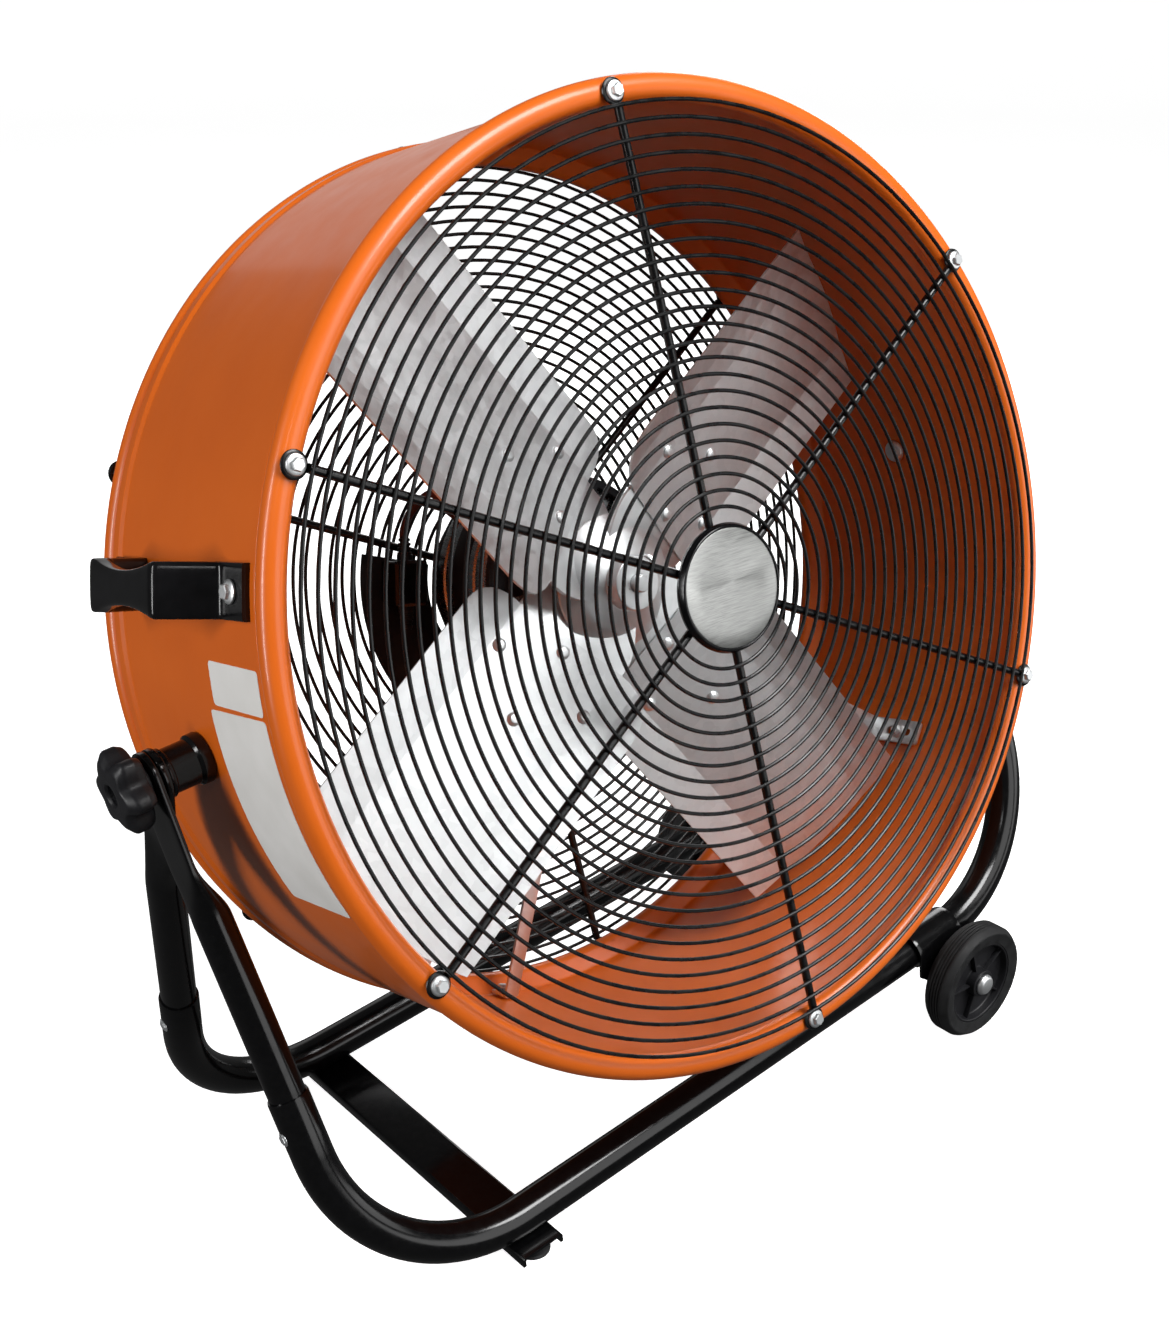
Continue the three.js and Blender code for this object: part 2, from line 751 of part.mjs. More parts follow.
// The lead runs from the gland's mouth round into the side of the motor's can, in the switch's frame.
function motorLead() {
  const { height, depth } = switchBody;
  const plugEnd = -height / 2 - glandLength * 0.6;
  const y = -depth / 2 - seatGap;
  const spot = (distance, angle, along) => {
    const x = distance * Math.cos(angle * degrees) - switchCircle;
    return new THREE.Vector3(x, y - along, -distance * Math.sin(angle * degrees));
  };
  const route = new THREE.CatmullRomCurve3([
    new THREE.Vector3(0, y, plugEnd),
    new THREE.Vector3(0, y, plugEnd - 12),
    new THREE.Vector3(-4, y - 5, plugEnd - 26),
    spot(motorRadius + leadLoop, leadEntry + 2, 16),
    spot(motorRadius + leadLoop / 2, leadEntry, 22),
    spot(motorRadius + seatGap, leadEntry, 23),
  ]);
  return tube(route.getSpacedPoints(10), leadRadius, 8);
}

function addSwitch(drum) {
  const plate = addPiece(drum, 'switch_plate', switchPlate(), blackPlastic);
  plate.rotation.y = -plateAngle * degrees;
  const place = new THREE.Group();
  place.rotation.y = -switchAngle * degrees;
  drum.add(place);
  const works = new THREE.Group();
  works.position.set(switchCircle, rearPlatePlane - plateThickness, 0);
  place.add(works);
  addPiece(works, 'switch_body', switchCase(), blackPlastic);
  addPiece(works, 'motor_lead_gland', cordGland(-1), blackPlastic);
  addPiece(works, 'mains_cord_gland', cordGland(1), blackPlastic);
  addPiece(works, 'switch_knob', switchKnob(), blackPlastic);
  addPiece(works, 'motor_lead', motorLead(), brownLead);
}

// ---- Carrying handle, in a frame whose -X points away from the drum's wall ----
function carryHandle() {
  const foot = -seatGap;
  const shoulder = handleHalfLength - padLength;
  const under = handleRise - handleThickness;
  const innerFoot = shoulder - handleThickness;
  const innerGrip = gripHalfLength - handleThickness;
  const side = new THREE.Shape();
  side.moveTo(-handleHalfLength, -foot);
  side.lineTo(-handleHalfLength, padThickness);
  side.lineTo(-shoulder, padThickness);
  side.lineTo(-gripHalfLength - gripBend / 2, handleRise - gripBend);
  side.quadraticCurveTo(-gripHalfLength, handleRise, -gripHalfLength + gripBend, handleRise);
  side.lineTo(gripHalfLength - gripBend, handleRise);
  side.quadraticCurveTo(gripHalfLength, handleRise, gripHalfLength + gripBend / 2, handleRise - gripBend);
  side.lineTo(shoulder, padThickness);
  side.lineTo(handleHalfLength, padThickness);
  side.lineTo(handleHalfLength, -foot);
  side.lineTo(innerFoot, -foot);
  side.lineTo(innerGrip + gripBend / 2, under - gripBend);
  side.quadraticCurveTo(innerGrip, under, innerGrip - gripBend, under);
  side.lineTo(gripBend - innerGrip, under);
  side.quadraticCurveTo(-innerGrip, under, -innerGrip - gripBend / 2, under - gripBend);
  side.lineTo(-innerFoot, -foot);
  side.lineTo(-handleHalfLength, -foot);
  const settings = { depth: 2 * handleHalfWidth, bevelEnabled: false, curveSegments: 4 };
  const body = new THREE.ExtrudeGeometry(side, settings);
  const turned = new THREE.Matrix4().makeBasis(
    new THREE.Vector3(0, 1, 0),
    new THREE.Vector3(-1, 0, 0),
    new THREE.Vector3(0, 0, 1),
  );
  body.applyMatrix4(turned).translate(-drumOutside, 0, -handleHalfWidth);
  const plan = new THREE.Shape();
  plan.moveTo(-handleHalfLength - 1, -handleHalfWidth);
  plan.lineTo(-gripHalfLength, -handleHalfWidth);
  plan.quadraticCurveTo(0, -2 * handleWaist + handleHalfWidth, gripHalfLength, -handleHalfWidth);
  plan.lineTo(handleHalfLength + 1, -handleHalfWidth);
  plan.lineTo(handleHalfLength + 1, handleHalfWidth);
  plan.lineTo(gripHalfLength, handleHalfWidth);
  plan.quadraticCurveTo(0, 2 * handleWaist - handleHalfWidth, -gripHalfLength, handleHalfWidth);
  plan.lineTo(-handleHalfLength - 1, handleHalfWidth);
  const waist = prism('x', plan, -drumOutside - 2 * handleRise, -drumOutside + handleRise);
  return common(body, waist).translate(0, handleMiddle, 0);
}

// ---- Stand ----
const legLength = Math.hypot(frameSplay, frameDrop);
const sleeveTop = legLength - bendRadius - sleeveLength; // distance from the pivot to the sleeve's mouth
const splayAngle = Math.atan2(frameSplay, frameDrop);

// A point of a side frame: x across, drop measured down its slope, face -1 at the front and +1 at the rear.
function framePoint(x, drop, face) {
  return new THREE.Vector3(x, face * drop * Math.sin(splayAngle), -drop * Math.cos(splayAngle));
}

function legX(drop) {
  return pivotHalfSpan - ((pivotHalfSpan - frameHalfSpan) * drop) / legLength;
}

function lowerFrame(face) {
  const lean = Math.atan2(pivotHalfSpan - frameHalfSpan, legLength);
  const turn = Math.PI / 2 - lean;
  const setback = bendRadius * Math.tan(turn / 2);
  const middleX = frameHalfSpan - setback;
  const middleDrop = legLength - bendRadius;
  const right = [framePoint(legX(sleeveTop), sleeveTop, face)];
  for (let k = 0; k <= bendSteps; k += 1) {
    const angle = lean + (turn * k) / bendSteps;
    const x = middleX + bendRadius * Math.cos(angle);
    right.push(framePoint(x, middleDrop + bendRadius * Math.sin(angle), face));
  }
  const left = right.map((point) => new THREE.Vector3(-point.x, point.y, point.z)).reverse();
  const frame = tube([...right, ...left], sleeveRadius, tubeSides);
  const sockets = [1, -1].map((side) => {
    const mouth = framePoint(side * legX(sleeveTop - 1), sleeveTop - 1, face);
    const floor = framePoint(side * legX(sleeveTop + legInsert + 1), sleeveTop + legInsert + 1, face);
    return tube([mouth, floor], legRadius + boreClearance, tubeSides);
  });
  return cut(frame, ...sockets);
}

// One cross section of a leg: round when roundness is 1, a flat strip near 0.
function legRing(side, face, drop, centreX, halfThickness, halfWidth, roundness) {
  const ring = [];
  const across = new THREE.Vector3(0, Math.cos(splayAngle), face * Math.sin(splayAngle));
  for (let k = 0; k < tubeSides; k += 1) {
    const angle = (2 * Math.PI * (k + 0.5)) / tubeSides;
    const cosine = Math.sign(Math.cos(angle)) * Math.abs(Math.cos(angle)) ** roundness;
    const sine = Math.sign(Math.sin(angle)) * Math.abs(Math.sin(angle)) ** roundness;
    const point = framePoint(side * (centreX + halfThickness * cosine), drop, face);
    ring.push(point.addScaledVector(across, halfWidth * sine));
  }
  return ring;
}

function standLeg(side, face) {
  const half = flatThickness / 2;
  const flatX = pivotHalfSpan - face * (half + seatGap);
  const flat = 0.25;
  const rings = [
    legRing(side, face, -flatHalfWidth, flatX, half, flatHalfWidth * 0.3, flat),
    legRing(side, face, -flatHalfWidth * 0.75, flatX, half, flatHalfWidth * 0.75, flat),
    legRing(side, face, 0, flatX, half, flatHalfWidth, flat),
    legRing(side, face, flatEnd, flatX, half, flatHalfWidth, flat),
    legRing(side, face, roundStart, legX(roundStart), legRadius, legRadius, 1),
    legRing(side, face, sleeveTop + legInsert, legX(sleeveTop + legInsert), legRadius, legRadius, 1),
  ];
  const hole = rod('x', pivotBolt + boreClearance, -2 * pivotHalfSpan, 2 * pivotHalfSpan, 8);
  return cut(loft(rings), hole);
}

function clampKnob() {
  const lobes = [];
  for (let k = 0; k < 4 * knobLobes; k += 1) {
    const angle = (2 * Math.PI * k) / (4 * knobLobes);
    const radius = knobRadius + knobLobe * Math.cos(knobLobes * angle);
    lobes.push([radius * Math.cos(angle), radius * Math.sin(angle)]);
  }
  const grip = prism('x', outlineOf(lobes), knobNeck, knobNeck + knobThickness);
  const neck = rod('x', knobNeckRadius, 0, knobNeck + 1, 12);
  const bore = rod('x', pivotBolt + boreClearance, -1, knobNeck + knobThickness + 1, 8);
  return cut(join(grip, neck), bore);
}

const clampFace = pivotHalfSpan + flatThickness + 2 * seatGap; // X of the outermost tube face

function pivotBoltShape() {
  const wall = drumInside - seatGap;
  const end = clampFace + seatGap + knobNeck + knobThickness * 0.6;
  const shank = rod('x', pivotBolt, wall - 1, end, 8);
  const head = revolve([
    [0, 0],
    [pivotBolt * 2, 0],
    [pivotBolt * 1.7, -pivotBolt * 0.7],
    [0, -pivotBolt],
  ], 10).rotateZ(-Math.PI / 2).translate(wall, 0, 0);
  return join(shank, head);
}

function pivotSpacer() {
  const outer = pivotHalfSpan - flatThickness - 2 * seatGap;
  const sleeve = rod('x', spacerRadius, skinRadius + seatGap, outer, 16);
  return cut(sleeve, rod('x', pivotBolt + boreClearance, skinRadius - 1, outer + 1, 8));
}

// Mirrors a piece made for the right side onto the left.
function handed(geometry, side) {
  return side > 0 ? geometry : closed(geometry.clone().scale(-1, 1, 1));
}

const floorTubeTop = -frameDrop - sleeveRadius - seatGap; // Z of what hangs below the floor tubes

function footChannel() {
  const half = channelWidth / 2;
  const inner = half - channelSheet;
  const section = outlineOf([
    [-half, 0],
    [-half, -channelFlange],
    [-inner, -channelFlange],
    [-inner, -channelSheet],
    [inner, -channelSheet],
    [inner, -channelFlange],
    [half, -channelFlange],
    [half, 0],
  ]);
  return prism('y', section, -channelHalfLength, channelHalfLength).translate(channelMiddle, 0, floorTubeTop);
}

// The floor touches the middle of the soles and the wheels' treads, so the frame leans on its smaller feet.
const wheelSpan = wheelX - channelMiddle;
const heightStep = wheelDrop - footDrop;
const footRise = Math.asin(wheelRadius / Math.hypot(wheelSpan, heightStep));
const frameLean = footRise + Math.atan2(heightStep, wheelSpan);

// Z of the floor under a point of the leaning frame.
function floorUnder(x) {
  return -footDrop - (x - channelMiddle) * Math.tan(frameLean);
}

function rubberFoot() {
  const seat = floorTubeTop - channelSheet - seatGap;
  const top = [];
  const waist = [];
  const sole = [];
  for (let k = 0; k < 16; k += 1) {
    const angle = (2 * Math.PI * k) / 16;
    const x = footRadius * Math.cos(angle);
    const y = footRadius * Math.sin(angle);
    top.push(new THREE.Vector3(channelMiddle + x * 0.85, y * 0.85, seat));
    waist.push(new THREE.Vector3(channelMiddle + x, y, seat - channelSheet));
    sole.push(new THREE.Vector3(channelMiddle + x, y, floorUnder(channelMiddle + x)));
  }
  return loft([top, waist, sole]);
}

// A saddle of bent plate over a floor tube whose two cheeks carry the axle.
function wheelBracket() {
  const inside = (sleeveRadius + 3 * seatGap) / Math.cos(Math.PI / (4 * hoopSegments));
  const outside = inside + bracketSheet;
  const hoop = new THREE.Shape();
  hoop.absarc(0, 0, outside, 0, Math.PI, false);
  hoop.lineTo(-outside, -axleDrop - bracketEar);
  hoop.lineTo(-inside, -axleDrop - bracketEar);
  hoop.absarc(0, 0, inside, Math.PI, 0, true);
  hoop.lineTo(inside, -axleDrop - bracketEar);
  hoop.lineTo(outside, -axleDrop - bracketEar);
  const saddle = prism('x', hoop, bracketLeft, bracketRight + bracketEar, hoopSegments);
  const plate = new THREE.Shape();
  plate.moveTo(bracketLeft, outside + 1);
  plate.lineTo(bracketLeft, -sleeveRadius - 2);
  plate.lineTo(wheelX - bracketEar, -axleDrop - bracketEar * 0.6);
  plate.absarc(wheelX, -axleDrop, bracketEar, Math.PI * 1.2, Math.PI * 2, false);
  plate.lineTo(bracketRight, -sleeveRadius / 2);
  plate.lineTo(bracketRight, outside + 1);
  const cheeks = prism('y', plate, -outside - 1, outside + 1);
  const hole = rod('y', axleRadius + boreClearance, -outside - 1, outside + 1, 10);
  return cut(common(saddle, cheeks), hole.translate(wheelX, 0, -axleDrop)).translate(0, 0, -frameDrop);
}

// ---- Wheels, in a frame with the axle along Y and the outer side towards +Y ----
function tyre() {
  const half = tyreWidth / 2;
  return revolve([
    [tyreInner, -half + 2],
    [wheelRadius - 5, -half],
    [wheelRadius, -half + 6],
    [wheelRadius, half - 6],
    [wheelRadius - 5, half],
    [tyreInner, half - 2],
  ], wheelSides);
}

function wheelHub() {
  const half = hubWidth / 2;
  const rim = tyreInner - seatGap;
  const web = 3;
  const disc = revolve([
    [axleRadius + boreClearance, -half - 2],
    [axleBoss, -half - 2],
    [axleBoss, -web],
    [rim - 3.5, -web],
    [rim - 2.5, -half],
    [rim, -half],
    [rim, half],
    [rim - 2.5, half],
    [rim - 3.5, web],
    [axleBoss, web],
    [axleBoss, half + 2],
    [axleRadius + boreClearance, half + 2],
  ], wheelSides);
  const ribs = [];
  for (let k = 0; k < hubRibs; k += 1) {
    const rib = outlineOf([[axleBoss - 1, -1.2], [rim - 3, -1.2], [rim - 3, 1.2], [axleBoss - 1, 1.2]]);
    ribs.push(prism('y', rib, 0, half - 3).rotateY((360 / hubRibs) * k * degrees));
  }
  return join(disc, ...ribs);
}

function wheelAxle() {
  const end = wheelPlane + hubWidth / 2 + 4;
  return rod('y', axleRadius, -end, end, 10);
}

function axleCap() {
  const depth = 3;
  const profile = [
    [axleRadius + seatGap, 0],
    [capRadius, 0],
    [capRadius * 0.8, capHeight * 0.7],
    [0, capHeight],
    [0, depth],
    [axleRadius + seatGap, depth],
  ];
  return revolve([...profile].reverse(), 12);
}

function addWheel(stand, label, face) {
  const wheel = new THREE.Group();
  wheel.position.set(wheelX, face * wheelPlane, -wheelDrop);
  wheel.rotation.set(0, frameLean, face > 0 ? 0 : Math.PI, 'YXZ');
  stand.add(wheel);
  addPiece(wheel, `${label}_tyre`, tyre(), blackRubber);
  addPiece(wheel, `${label}_wheel_hub`, wheelHub(), blackPlastic);
  addPiece(wheel, `${label}_axle_cap`, axleCap(), zincPlate).position.y = hubWidth / 2 + 2 + seatGap;
}

function addStand(stand) {
  for (const [label, face] of [['front', -1], ['rear', 1]]) {
    addPiece(stand, `${label}_lower_frame`, lowerFrame(face), blackEnamel);
    addPiece(stand, `${label}_left_leg`, standLeg(-1, face), blackEnamel);
    addPiece(stand, `${label}_right_leg`, standLeg(1, face), blackEnamel);
    addPiece(stand, `${label}_rubber_foot`, rubberFoot(), blackRubber).position.y = face * footOffset;
    addPiece(stand, `${label}_wheel_bracket`, wheelBracket(), blackEnamel).position.y = face * frameSplay;
    addWheel(stand, label, face);
  }
  addPiece(stand, 'foot_channel', footChannel(), blackEnamel);
  const axle = addPiece(stand, 'wheel_axle', wheelAxle(), zincPlate);
  axle.position.set(wheelX, 0, -wheelDrop);
  for (const [label, side] of [['left', -1], ['right', 1]]) {
    const knob = addPiece(stand, `${label}_clamp_knob`, handed(clampKnob(), side), blackPlastic);
    knob.position.x = side * (clampFace + seatGap);
  }
}

function addDrum(stand) {
  const drum = new THREE.Group();
  drum.rotation.x = -tiltUp * degrees;
  stand.add(drum);
  addPiece(drum, 'drum_shell', drumShell(), orangePaint);
  const frontGuard = addGuard(drum, 'front', frontCrown, 0, frontRings);
  addPiece(frontGuard, 'guard_badge', guardBadge(), brushedFace);
  addGuard(drum, 'rear', rearCrown, Math.PI, rearRings);
  addMotor(drum);
  addPiece(drum, 'front_motor_cradle', motorCradle(frontCradle), galvanised);
  addPiece(drum, 'rear_motor_cradle', motorCradle(rearCradle), galvanised);
  addFan(drum);
  addSwitch(drum);
  addPiece(drum, 'carry_handle', carryHandle(), blackPlastic).rotation.y = handleAngle * degrees;
  for (const [label, side] of [['left', -1], ['right', 1]]) {
    addPiece(drum, `${label}_pivot_spacer`, handed(pivotSpacer(), side), blackPlastic);
    addPiece(drum, `${label}_pivot_bolt`, handed(pivotBoltShape(), side), zincPlate);
  }
}

// ---- Assembly: the frame leans on its feet, and its origin is the middle of its footprint ----
const drumFan = new THREE.Group();
const stand = new THREE.Group();
stand.rotation.y = -frameLean;
drumFan.add(stand);
addStand(stand);
addDrum(stand);
const extent = new THREE.Box3().setFromObject(drumFan, true);
const middle = extent.getCenter(new THREE.Vector3());
stand.position.set(-middle.x, -middle.y, -extent.min.z);

export default drumFan;
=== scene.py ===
"""Looks of the drum fan: an orange steel drum with wire guards, tilting on a black tube stand on wheels."""
import json
import math

import bmesh
import bpy
from mathutils import Matrix, Vector


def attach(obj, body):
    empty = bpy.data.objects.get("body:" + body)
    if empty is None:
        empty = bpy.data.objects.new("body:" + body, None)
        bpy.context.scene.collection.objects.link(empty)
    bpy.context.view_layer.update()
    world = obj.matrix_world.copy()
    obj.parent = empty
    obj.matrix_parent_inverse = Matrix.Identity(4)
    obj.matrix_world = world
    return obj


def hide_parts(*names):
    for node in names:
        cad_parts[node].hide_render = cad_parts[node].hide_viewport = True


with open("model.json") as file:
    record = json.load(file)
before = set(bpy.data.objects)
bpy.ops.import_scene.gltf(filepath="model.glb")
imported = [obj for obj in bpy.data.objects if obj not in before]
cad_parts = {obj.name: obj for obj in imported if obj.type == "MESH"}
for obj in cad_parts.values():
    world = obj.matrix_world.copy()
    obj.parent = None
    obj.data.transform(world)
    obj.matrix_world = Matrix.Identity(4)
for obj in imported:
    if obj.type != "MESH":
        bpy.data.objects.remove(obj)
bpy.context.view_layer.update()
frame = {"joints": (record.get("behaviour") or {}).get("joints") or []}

MM = 0.001  # the pieces are drawn in millimetres and placed in metres

# ---- Sizes of the fan, in millimetres, as in the part's source ----
SEAT = 0.3
SKIN_RADIUS = 330
SKIN_SHEET = 1.5
DRUM_SIDES = 38  # flat sides of the CAD drum, on whose middles its fittings sit
FLAT_SHARE = math.cos(math.pi / DRUM_SIDES)
FRONT_CROWN = -133.6
REAR_CROWN = 118
FRONT_RIM = {"outer": 336.0, "inner": 318, "depth": 17.2}
REAR_RIM = {"outer": 333.4, "inner": 314, "depth": 16.8}
BOLT_CIRCLE = 325.6
SPOKES = 6
SPOKE_TURN = 28.2  # degrees from +X towards +Z
SPOKE_RADIUS = 3
SPOKE_START = 20.0  # under the centre plate
EYE_RADIUS = 7.9
RING_WIRE = 2.7
FIRST_RING = 54.4
LAST_RING = 316.48
FRONT_RINGS = 25
REAR_RINGS = 27
SPOKE_Y = -(SEAT + SPOKE_RADIUS)  # middle of the spokes in front of a rim's crown
RING_Y = SPOKE_Y - SPOKE_RADIUS + 0.5 - RING_WIRE / 2
PLATE_RADIUS = 40
PLATE_SHEET = 2.4
PLATE_FRONT = SPOKE_Y - SPOKE_RADIUS - PLATE_SHEET / 2
BADGE_RADIUS = 44
BLADES = 4
BLADE_TURN = 28.1
BLADE_PITCH = 18.3
BLADE_PLANE = -19
BLADE_TIP = 303
BLADE_HALF = 79
BLADE_ROOT = 52
BLADE_SHEET = 1.6
CREASES = (-46, 42)
LIFT = 60.5  # where a blade's trailing side starts to lift more
CAMBER = 6
ARM_SHEET = 3
ARM_REACH = 148
ARM_HALF = 54
ARM_FACE = BLADE_SHEET / 2 + SEAT
RIVETS = ((130, 0), (68, 0), (95, -40), (95, 40))  # along and across a blade
HUB_RADIUS = 50
HUB_DOME = 15
BARREL_RADIUS = 20
BARREL_FRONT = -27
BARREL_BACK = 16
MOTOR_RADIUS = 80
MOTOR_FRONT = 34
MOTOR_REAR = 98
BELL_DEPTH = 14
BELL_NOSE = 26
WINDOW_ROWS = (2, 3, 4)  # of a bell's faces
WINDOW_COLUMNS = (0, 1, 2, 10, 11)  # of every twelve
SHAFT_RADIUS = 6.35
SHAFT_FRONT = -52
SHAFT_BACK = 31
STRAP = 3
CRADLES = {
    "front": {"plane": 40, "drift": -34, "near": 48, "far": 48, "width": 20, "foot": -50, "slot": 26},
    "rear": {"plane": 48, "drift": 28, "near": 12, "far": 23, "width": 12, "foot": 20, "slot": 7},
}
SADDLE_HALF = 60  # degrees of the saddle on either side of its lowest point
SADDLE_WIDTH = 13
SLOT_RADIUS = 3.2
SWITCH_PLATE_Y = REAR_CROWN - (SPOKE_Y - SPOKE_RADIUS + 0.5) - SEAT
SWITCH_PLATE_SHEET = 2.5
PLATE_TURN = SPOKE_TURN + 150
SWITCH_TURN = SPOKE_TURN + 135
SWITCH_CIRCLE = FIRST_RING + 4.5 * (LAST_RING - FIRST_RING) / (REAR_RINGS - 1)
SWITCH_SIZE = (28, 22, 34)
GLAND_LENGTH = 18
LEAD_RADIUS = 3.1
LEAD_LOOP = 28  # distance of the lead's bend from the motor's can
LEAD_ENTRY = 36  # degrees from +X where the lead enters the can
HANDLE_TURN = 2 * 360 / DRUM_SIDES
HANDLE_MIDDLE = -9
HANDLE_HALF = 95
HANDLE_RISE = 42
HANDLE_THICK = 11
HANDLE_WIDE = 17
HANDLE_WAIST = 11
GRIP_HALF = 48
HANDLE_PAD = 30
PAD_THICK = 6
PIVOT_X = 366
FRAME_X = 350.75
FRAME_SPLAY = 130
FRAME_DROP = 375.1
BEND = 127.3
LEG_RADIUS = 12.7
SLEEVE_RADIUS = 14.6
FLAT_HALF = 18.5
FLAT_SHEET = 5
FLAT_END = 56
ROUND_START = 100
PIVOT_BOLT = 4.8
SPACER_RADIUS = 17
KNOB_LOBE = 4
CHANNEL_X = 138 - PIVOT_X
CHANNEL_HALF = 152
CHANNEL_SHEET = 2.5
SOLE_DROP = 26.9  # of the rubber feet, below the floor tubes' middle
FOOT_Y = 138
WHEEL_X = 226
AXLE_DROP = 29.9
WHEEL_Y = 167
WHEEL_RADIUS = 50
TYRE_WIDTH = 25
TYRE_INNER = 36
HUB_WIDTH = 20
AXLE_RADIUS = 5
BRACKET_SHEET = 2.8

# Screws: radius of the flange, height of the head, radius of the hexagon, radius of the shank, its reach
GUARD_SCREW = (6.5, 5, 4.4, 3, 15)
HUB_SCREW = (7, 4, 5.6, 4, 12)
CRADLE_SCREW = (6.2, 5, 4.4, 2.9, 5)
HANDLE_SCREW = (7.4, 5, 5, 3, 6)
LEG_SCREW = (5.0, 1.7, 3.6, 2.5, 3)

# Blank panels on the skin: length, width, degrees from +X towards +Z, lean in degrees, place along the drum
PANELS = {"small": (28, 66, 171.2, 2, -73), "tall": (137, 74, 186, 1, -68)}


# ---- Where things are ----
def joint_of(name):
    """A joint of the frame, by its name."""
    return next(joint for joint in frame["joints"] if joint["name"] == name)


def place(origin, across, back):
    """Matrix from a piece's millimetres, with X across and Y to the back, to the row frame."""
    across = Vector(across).normalized()
    back = Vector(back).normalized()
    basis = Matrix((across, back, across.cross(back))).transposed().to_4x4()
    return Matrix.Translation(Vector(origin)) @ basis @ Matrix.Scale(MM, 4)


PIVOT = joint_of("drum_tilt")["pos_m"]
ACROSS = joint_of("drum_tilt")["axis"]
STAND = place(PIVOT, ACROSS, (0, 1, 0))
DRUM = place(PIVOT, ACROSS, joint_of("fan_spin")["axis"])


def moved(x=0, y=0, z=0):
    """Matrix of a shift in millimetres."""
    return Matrix.Translation((x, y, z))


def about_y(degrees):
    """Turns from +X towards +Z."""
    return Matrix.Rotation(-math.radians(degrees), 4, "Y")


def about_x(degrees):
    """Turns from +Y towards +Z."""
    return Matrix.Rotation(math.radians(degrees), 4, "X")


def about_z(degrees):
    """Turns from +X towards +Y."""
    return Matrix.Rotation(math.radians(degrees), 4, "Z")


FRONT_GUARD = DRUM @ moved(y=FRONT_CROWN) @ about_y(SPOKE_TURN)
REAR_GUARD = DRUM @ moved(y=REAR_CROWN) @ about_y(SPOKE_TURN) @ about_z(180)
FAN = DRUM @ moved(y=BLADE_PLANE) @ about_y(BLADE_TURN)
SWITCH = DRUM @ about_y(SWITCH_TURN) @ moved(SWITCH_CIRCLE, SWITCH_PLATE_Y - SWITCH_PLATE_SHEET, 0)


# ---- Camera, light and floor ----
scene = bpy.context.scene
scene.view_settings.view_transform = "Standard"
scene.view_settings.look = "None"


# The view's focal length, its place in metres and its right and up, fitted to the photograph's perspective.
LENS = 46.1545
VIEW_PLACE = (-0.767825, -0.896382, 0.866736)
VIEW_RIGHT = Vector((0.767793, -0.640688, -0.003489))
VIEW_UP = Vector((0.256346, 0.302203, 0.918129))


def add_camera():
    """The camera that sees the fan as the photograph does."""
    data = bpy.data.cameras.new("photo_view")
    data.sensor_width = 36
    data.lens = LENS
    camera = bpy.data.objects.new("photo_view", data)
    turn = Matrix((VIEW_RIGHT, VIEW_UP, VIEW_RIGHT.cross(VIEW_UP))).transposed().to_4x4()
    camera.matrix_world = Matrix.Translation(VIEW_PLACE) @ turn
    scene.collection.objects.link(camera)
    scene.camera = camera


MIDDLE = Vector((0, 0, 0.4))  # of the fan, in metres


def add_softbox(name, position, size, watts):
    """A rectangular light at a position in metres, shining at the fan's middle."""
    data = bpy.data.lights.new(name, "AREA")
    data.shape = "RECTANGLE"
    data.size, data.size_y = size
    data.energy = watts
    light = bpy.data.objects.new(name, data)
    heading = (MIDDLE - Vector(position)).to_track_quat("-Z", "Y")
    light.matrix_world = Matrix.Translation(position) @ heading.to_matrix().to_4x4()
    scene.collection.objects.link(light)


add_camera()
add_softbox("high_front_softbox", (0.7, -1.5, 2.35), (1.2, 1.0), 72)
add_softbox("front_softbox", (0.6, -2.25, 0.9), (1.5, 1.8), 18)
add_softbox("low_right_softbox", (1.7, -1.1, 0.35), (1.2, 0.7), 5)
add_softbox("left_softbox", (-2.7, 0.0, 1.1), (0.4, 1.8), 42)
add_softbox("back_softbox", (0.8, 2.4, 0.9), (1.3, 1.3), 3)
add_softbox("right_back_softbox", (2.1, 1.5, 1.2), (1.0, 1.4), 22)
add_softbox("small_front_left_lamp", (-1.3, -1.6, 1.9), (0.3, 0.3), 2)


# ---- Node trees ----
def colour(code):
    """An sRGB hex colour as linear values with full opacity."""
    channels = [int(code[k:k + 2], 16) / 255 for k in (1, 3, 5)]
    return [c / 12.92 if c <= 0.04045 else ((c + 0.055) / 1.055) ** 2.4 for c in channels] + [1.0]


def add_node(tree, kind, inputs=None, stops=(), **settings):
    """Adds a node. A socket, or a node's first output, is linked where it is among the inputs.

    Any other value is set, and a list of nodes is linked one by one. The stops fill a colour band, as
    (place, hex colour) or (place, level of grey).
    """
    node = tree.nodes.new(kind)
    for key, value in settings.items():
        setattr(node, key, value)
    for key, value in (inputs or {}).items():
        sources = value if isinstance(value, list) else [value]
        if isinstance(sources[0], (bpy.types.Node, bpy.types.NodeSocket)):
            for source in sources:
                tree.links.new(getattr(source, "outputs", [source])[0], node.inputs[key])
        else:
            node.inputs[key].default_value = value
    if stops:
        for element, (spot, tone) in zip(node.color_ramp.elements, stops):
            element.position = spot
            element.color = colour(tone) if isinstance(tone, str) else (tone, tone, tone, 1.0)
    return node


def each(millimetres):
    """Scale of a pattern that repeats about every so many millimetres, on coordinates in metres."""
    return 1000 / millimetres


def start_material(name, **sockets):
    """A material with its shader's own constants set, its tree, shader and object coordinates."""
    material = bpy.data.materials.new(name)
    material.use_nodes = True
    tree = material.node_tree
    tree.nodes.clear()
    constants = {key.replace("_", " "): value for key, value in sockets.items()}
    shader = add_node(tree, "ShaderNodeBsdfPrincipled", constants)
    add_node(tree, "ShaderNodeOutputMaterial", {"Surface": shader.outputs["BSDF"]})
    coords = add_node(tree, "ShaderNodeTexCoord").outputs["Object"]
    return material, tree, shader, coords


